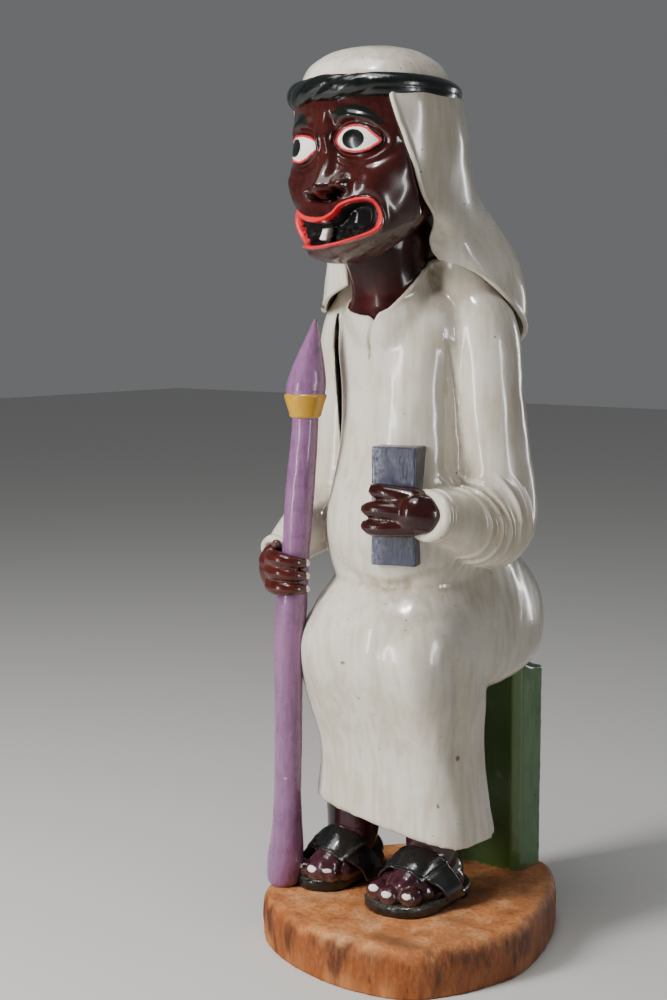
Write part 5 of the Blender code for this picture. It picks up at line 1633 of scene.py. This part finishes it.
right_grids = []
right_nails = []
for knuckle, tip in RIGHT_FINGERS:
    course = []
    for angle, reach, radius in FINGER_COURSE:
        way = math.radians(GRASP_FRONT + angle)
        level = np.interp(angle, (-60, 47), (knuckle, tip))
        course.append((GRASP[0] + reach * math.cos(way), GRASP[1] + reach * math.sin(way), level, radius))
    right_grids.append(bar(course, 50, 30))
    right_nails.append(((course[-1][0] + 0.38, course[-1][1] - 0.05, tip + 0.08), 0.42))
right_grids += [ball((-13.9, -8.6, 39.8), (1.5, 1.9, 2.7)), bar(RIGHT_WRIST_BAR, 20, 36)]
hand("right_hand", right_grids, right_nails, nail_paint("red_brown_enamel_hand", "#4A1712", "#37110D"))
thumb = fused("right_thumb", [bar(RIGHT_THUMB, 16, 26)], HAND_GRAIN, 2)
count = len(thumb.vertices)
store(thumb, nail=np.full(count, -1.0), hollow=np.full(count, 0.75))
piece_of("right_thumb", thumb, dark_enamel)


# Spear
# The spear stands on the log's foot beside the right shoe: a lilac shaft, a little bent, that swells to a
# round knob at its foot, a mustard collar, and a lilac bud-shaped head. It is one knife-cut piece.
SPEAR_AXIS = (
    (-14.7, -5.9, 0.0), (-14.45, -6.0, 1.6), (-14.0, -6.3, 4.0), (-13.3, -6.8, 8.0), (-12.5, -7.5, 20.0),
    (-12.0, -7.9, 31.0), (-11.0, -8.0, 40.0), (-10.3, -8.0, 48.0), (-9.6, -7.8, 56.0), (-9.45, -7.85, 60.0),
    (-9.3, -7.8, 62.0), (-8.84, -7.58, 65.5), (-8.3, -7.4, 69.25),
)
# The spear's radius by its height.
SPEAR_PROFILE = (
    (-0.2, 1.5), (0.05, 1.85), (0.5, 2.05), (1.6, 2.20), (2.8, 2.25), (4.2, 2.18), (6.0, 2.00), (8.0, 1.84),
    (12.0, 1.66), (20.0, 1.65), (27.0, 1.72), (31.5, 1.88), (35.5, 1.90), (39.0, 1.70), (42.0, 1.62),
    (49.0, 1.75), (53.0, 1.64), (56.6, 1.52), (57.75, 1.54), (57.92, 1.82), (58.4, 1.93), (59.2, 2.18),
    (60.1, 2.46), (60.4, 2.50), (60.52, 2.38), (60.58, 2.28), (61.0, 2.36), (61.9, 2.32), (63.3, 2.02),
    (64.9, 1.55), (66.6, 1.02), (68.0, 0.56), (68.85, 0.30), (69.2, 0.09),
)
SPEAR_COLLAR = (57.82, 60.55)
SPEAR_CHIPS = (((-12.0, -8.7, 14.2), 0.30), ((-11.9, -9.0, 21.3), 0.12), ((-11.6, -8.9, 27.0), 0.10))


def spear():
    """The profile's radius carried up the spear's slightly bent axis, with long shallow knife facets."""
    heights = np.concatenate([np.linspace(-0.2, 8, 40)[:-1], np.linspace(8, 57, 150)[:-1],
                              np.linspace(57, 62, 70)[:-1], np.linspace(62, 69.2, 50)])
    axis = through(SPEAR_AXIS, 300)
    profile = np.array(SPEAR_PROFILE)
    radius = np.interp(heights, profile[:, 0], profile[:, 1])
    soft = np.convolve(np.pad(radius, 1, mode="edge"), (0.25, 0.5, 0.25), mode="valid")
    x, y = (np.interp(heights, axis[:, 2], axis[:, i]) for i in (0, 1))
    turn = np.linspace(0, 2 * math.pi, 60, endpoint=False)[None, :]
    reach = soft[:, None] * np.ones_like(turn)
    points = np.stack([x[:, None] + reach * np.cos(turn), y[:, None] + reach * np.sin(turn),
                       heights[:, None] + 0 * turn], axis=-1)
    knife = 0.035 * ripple(points * np.array([1, 1, 0.12]), 1.8, 111) + 0.012 * ripple(points, 1.2, 112)
    knife = knife * np.clip(reach, 0, 1)
    points[..., 0] += knife * np.cos(turn)
    points[..., 1] += knife * np.sin(turn)
    mesh = grid_mesh("spear", to_metres(points))
    level = points[..., 2]
    collar = np.minimum(level - SPEAR_COLLAR[0], SPEAR_COLLAR[1] - level)
    chips = in_balls(points, SPEAR_CHIPS, (1, 1, 0.5))
    store(mesh, collar=collar, chip=chips, hollow=np.clip(hollows(mesh, 3), 0, 1))
    material, tree, shader, spot, tone = gloss_paint(
        "lilac_gloss_paint", "#8B5E87", "#795276", 0.020, 0.28, 0.22, (1, 1, 0.12))
    tone = painted(tree, spot, tone, "#C29000", "collar", soft=0.04, waver=0.12)
    tone = painted(tree, spot, tone, "#D8B98A", "chip", soft=0.06, waver=0.2)
    # Painted shade: a darker lilac laid into the spear's hollows.
    tone = mixed(tree, kept(tree, "hollow"), tone, "#5B4358")
    tree.links.new(tone, shader.inputs["Base Color"])
    return piece_of("spear", mesh, material)


spear()
